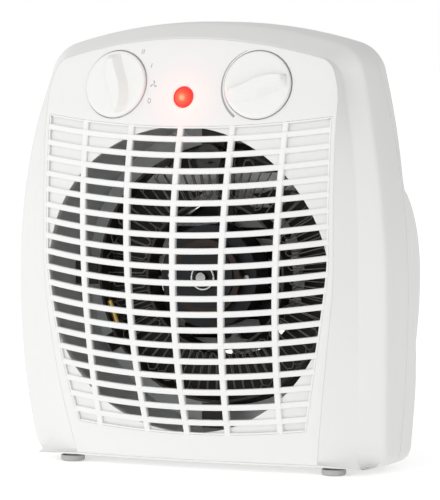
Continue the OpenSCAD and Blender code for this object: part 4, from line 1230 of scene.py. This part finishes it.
# Finishes of the CAD nodes that are shown as they are
CAD_FINISH = {
    "duct_screws": ZINC, "switch_shaft": GROUND_STEEL, "thermostat_shaft": GROUND_STEEL,
    "rotary_switch": IVORY, "thermostat": IVORY, "bimetal_strip": BRASS, "lamp_holder": IVORY,
    "element_hub_ring": MICA, "element_rim_ring": MICA, "mica_cards": MICA,
    "thermal_cutout": PHENOLIC, "thermal_fuse": BRASS, "motor_bracket": DARK_STEEL,
    "stator": LAMINATIONS, "front_winding": WINDING, "rear_winding": WINDING,
    "rear_bearing": CHROME, "motor_screws": ZINC, "motor_shaft": GROUND_STEEL, "rotor": CAST_ALUMINIUM,
    "fan_nut": ZINC, "terminal_block": IVORY, "cord_gland": PVC_BLACK,
    "live_wire": PVC_BROWN, "neutral_wire": PVC_BLUE, "lamp_wire": PVC_WHITE, "motor_wire": PVC_BLACK,
}


def build():
    """Every piece, with its finish, its body, the CAD nodes it stands for and the angle in degrees
    above which an edge stays crisp."""
    piece("casing_front", front_casing(), POLYPROPYLENE, "housing", ["front_casing"], 40)
    piece("casing_rear", rear_casing(), POLYPROPYLENE, "housing", ["rear_casing"], 38)
    piece("panel", front_panel(), POLYPROPYLENE, "housing", ["front_panel"], 42)
    piece("grille", front_grille(), POLYPROPYLENE_SLATS, "housing", ["front_grille"], 46)
    piece("dial_switch", dial(-1, 10), ABS_DIAL, "switch_dial", ["switch_knob"], 24)
    piece("dial_thermostat", dial(1, -80), ABS_DIAL, "thermostat_dial", ["thermostat_knob"], 24)
    piece("dial_marks", dial_marks(), PRINT_INK, "housing")
    piece("lens", lamp_lens(), lit_lens(), "housing", ["lamp_lens"], 50)
    piece("duct", air_duct(), GALVANISED, "housing", ["air_duct"], 40)
    piece("shroud", fan_shroud(), FAN_BLACK, "housing", ["fan_shroud"], 40)
    for heat, behind, shift in (("low", 3, 0.0), ("high", 11, 0.5)):
        wire = heating_wire(ELEMENT_Y + behind, shift)
        piece("element_" + heat, wire, NICHROME, "housing", ["heating_wire_" + heat], 80)
    piece("fan_wheel", fan(), FAN_BLACK, "fan_rotor", ["fan"], 35)
    piece("motor_cap", bearing_cap(), DARK_STEEL, "housing", ["front_bearing"], 30)
    piece("motor_cap_ring", bearing_ring(), CHROME, "housing", (), 80)
    for row, y in (("front", FOOT_FRONT_Y), ("rear", FOOT_REAR_Y)):
        for hand, side in (("left", -1), ("right", 1)):
            name = row + "_" + hand
            pad = foot(side * FOOT_X, y)
            piece("pad_" + name, pad, ELASTOMER, "housing", ["foot_" + name], 40)
    piece("screws_casing", casing_screws(), ZINC, "housing", ["casing_screws"], 30)
    for name, finish in CAD_FINISH.items():
        nodes[name].data.materials.clear()
        nodes[name].data.materials.append(finish)


def lay_floor():
    """Level floor that runs out to the horizon."""
    mesh = bpy.data.meshes.new("floor")
    mesh.from_pydata([(-30, -30, 0), (30, -30, 0), (30, 30, 0), (-30, 30, 0)], [], [(0, 1, 2, 3)])
    mesh.materials.append(FLOOR_PAPER)
    as_object("floor", mesh)


build()
light_lamp()
lay_floor()
set_studio()
set_camera()
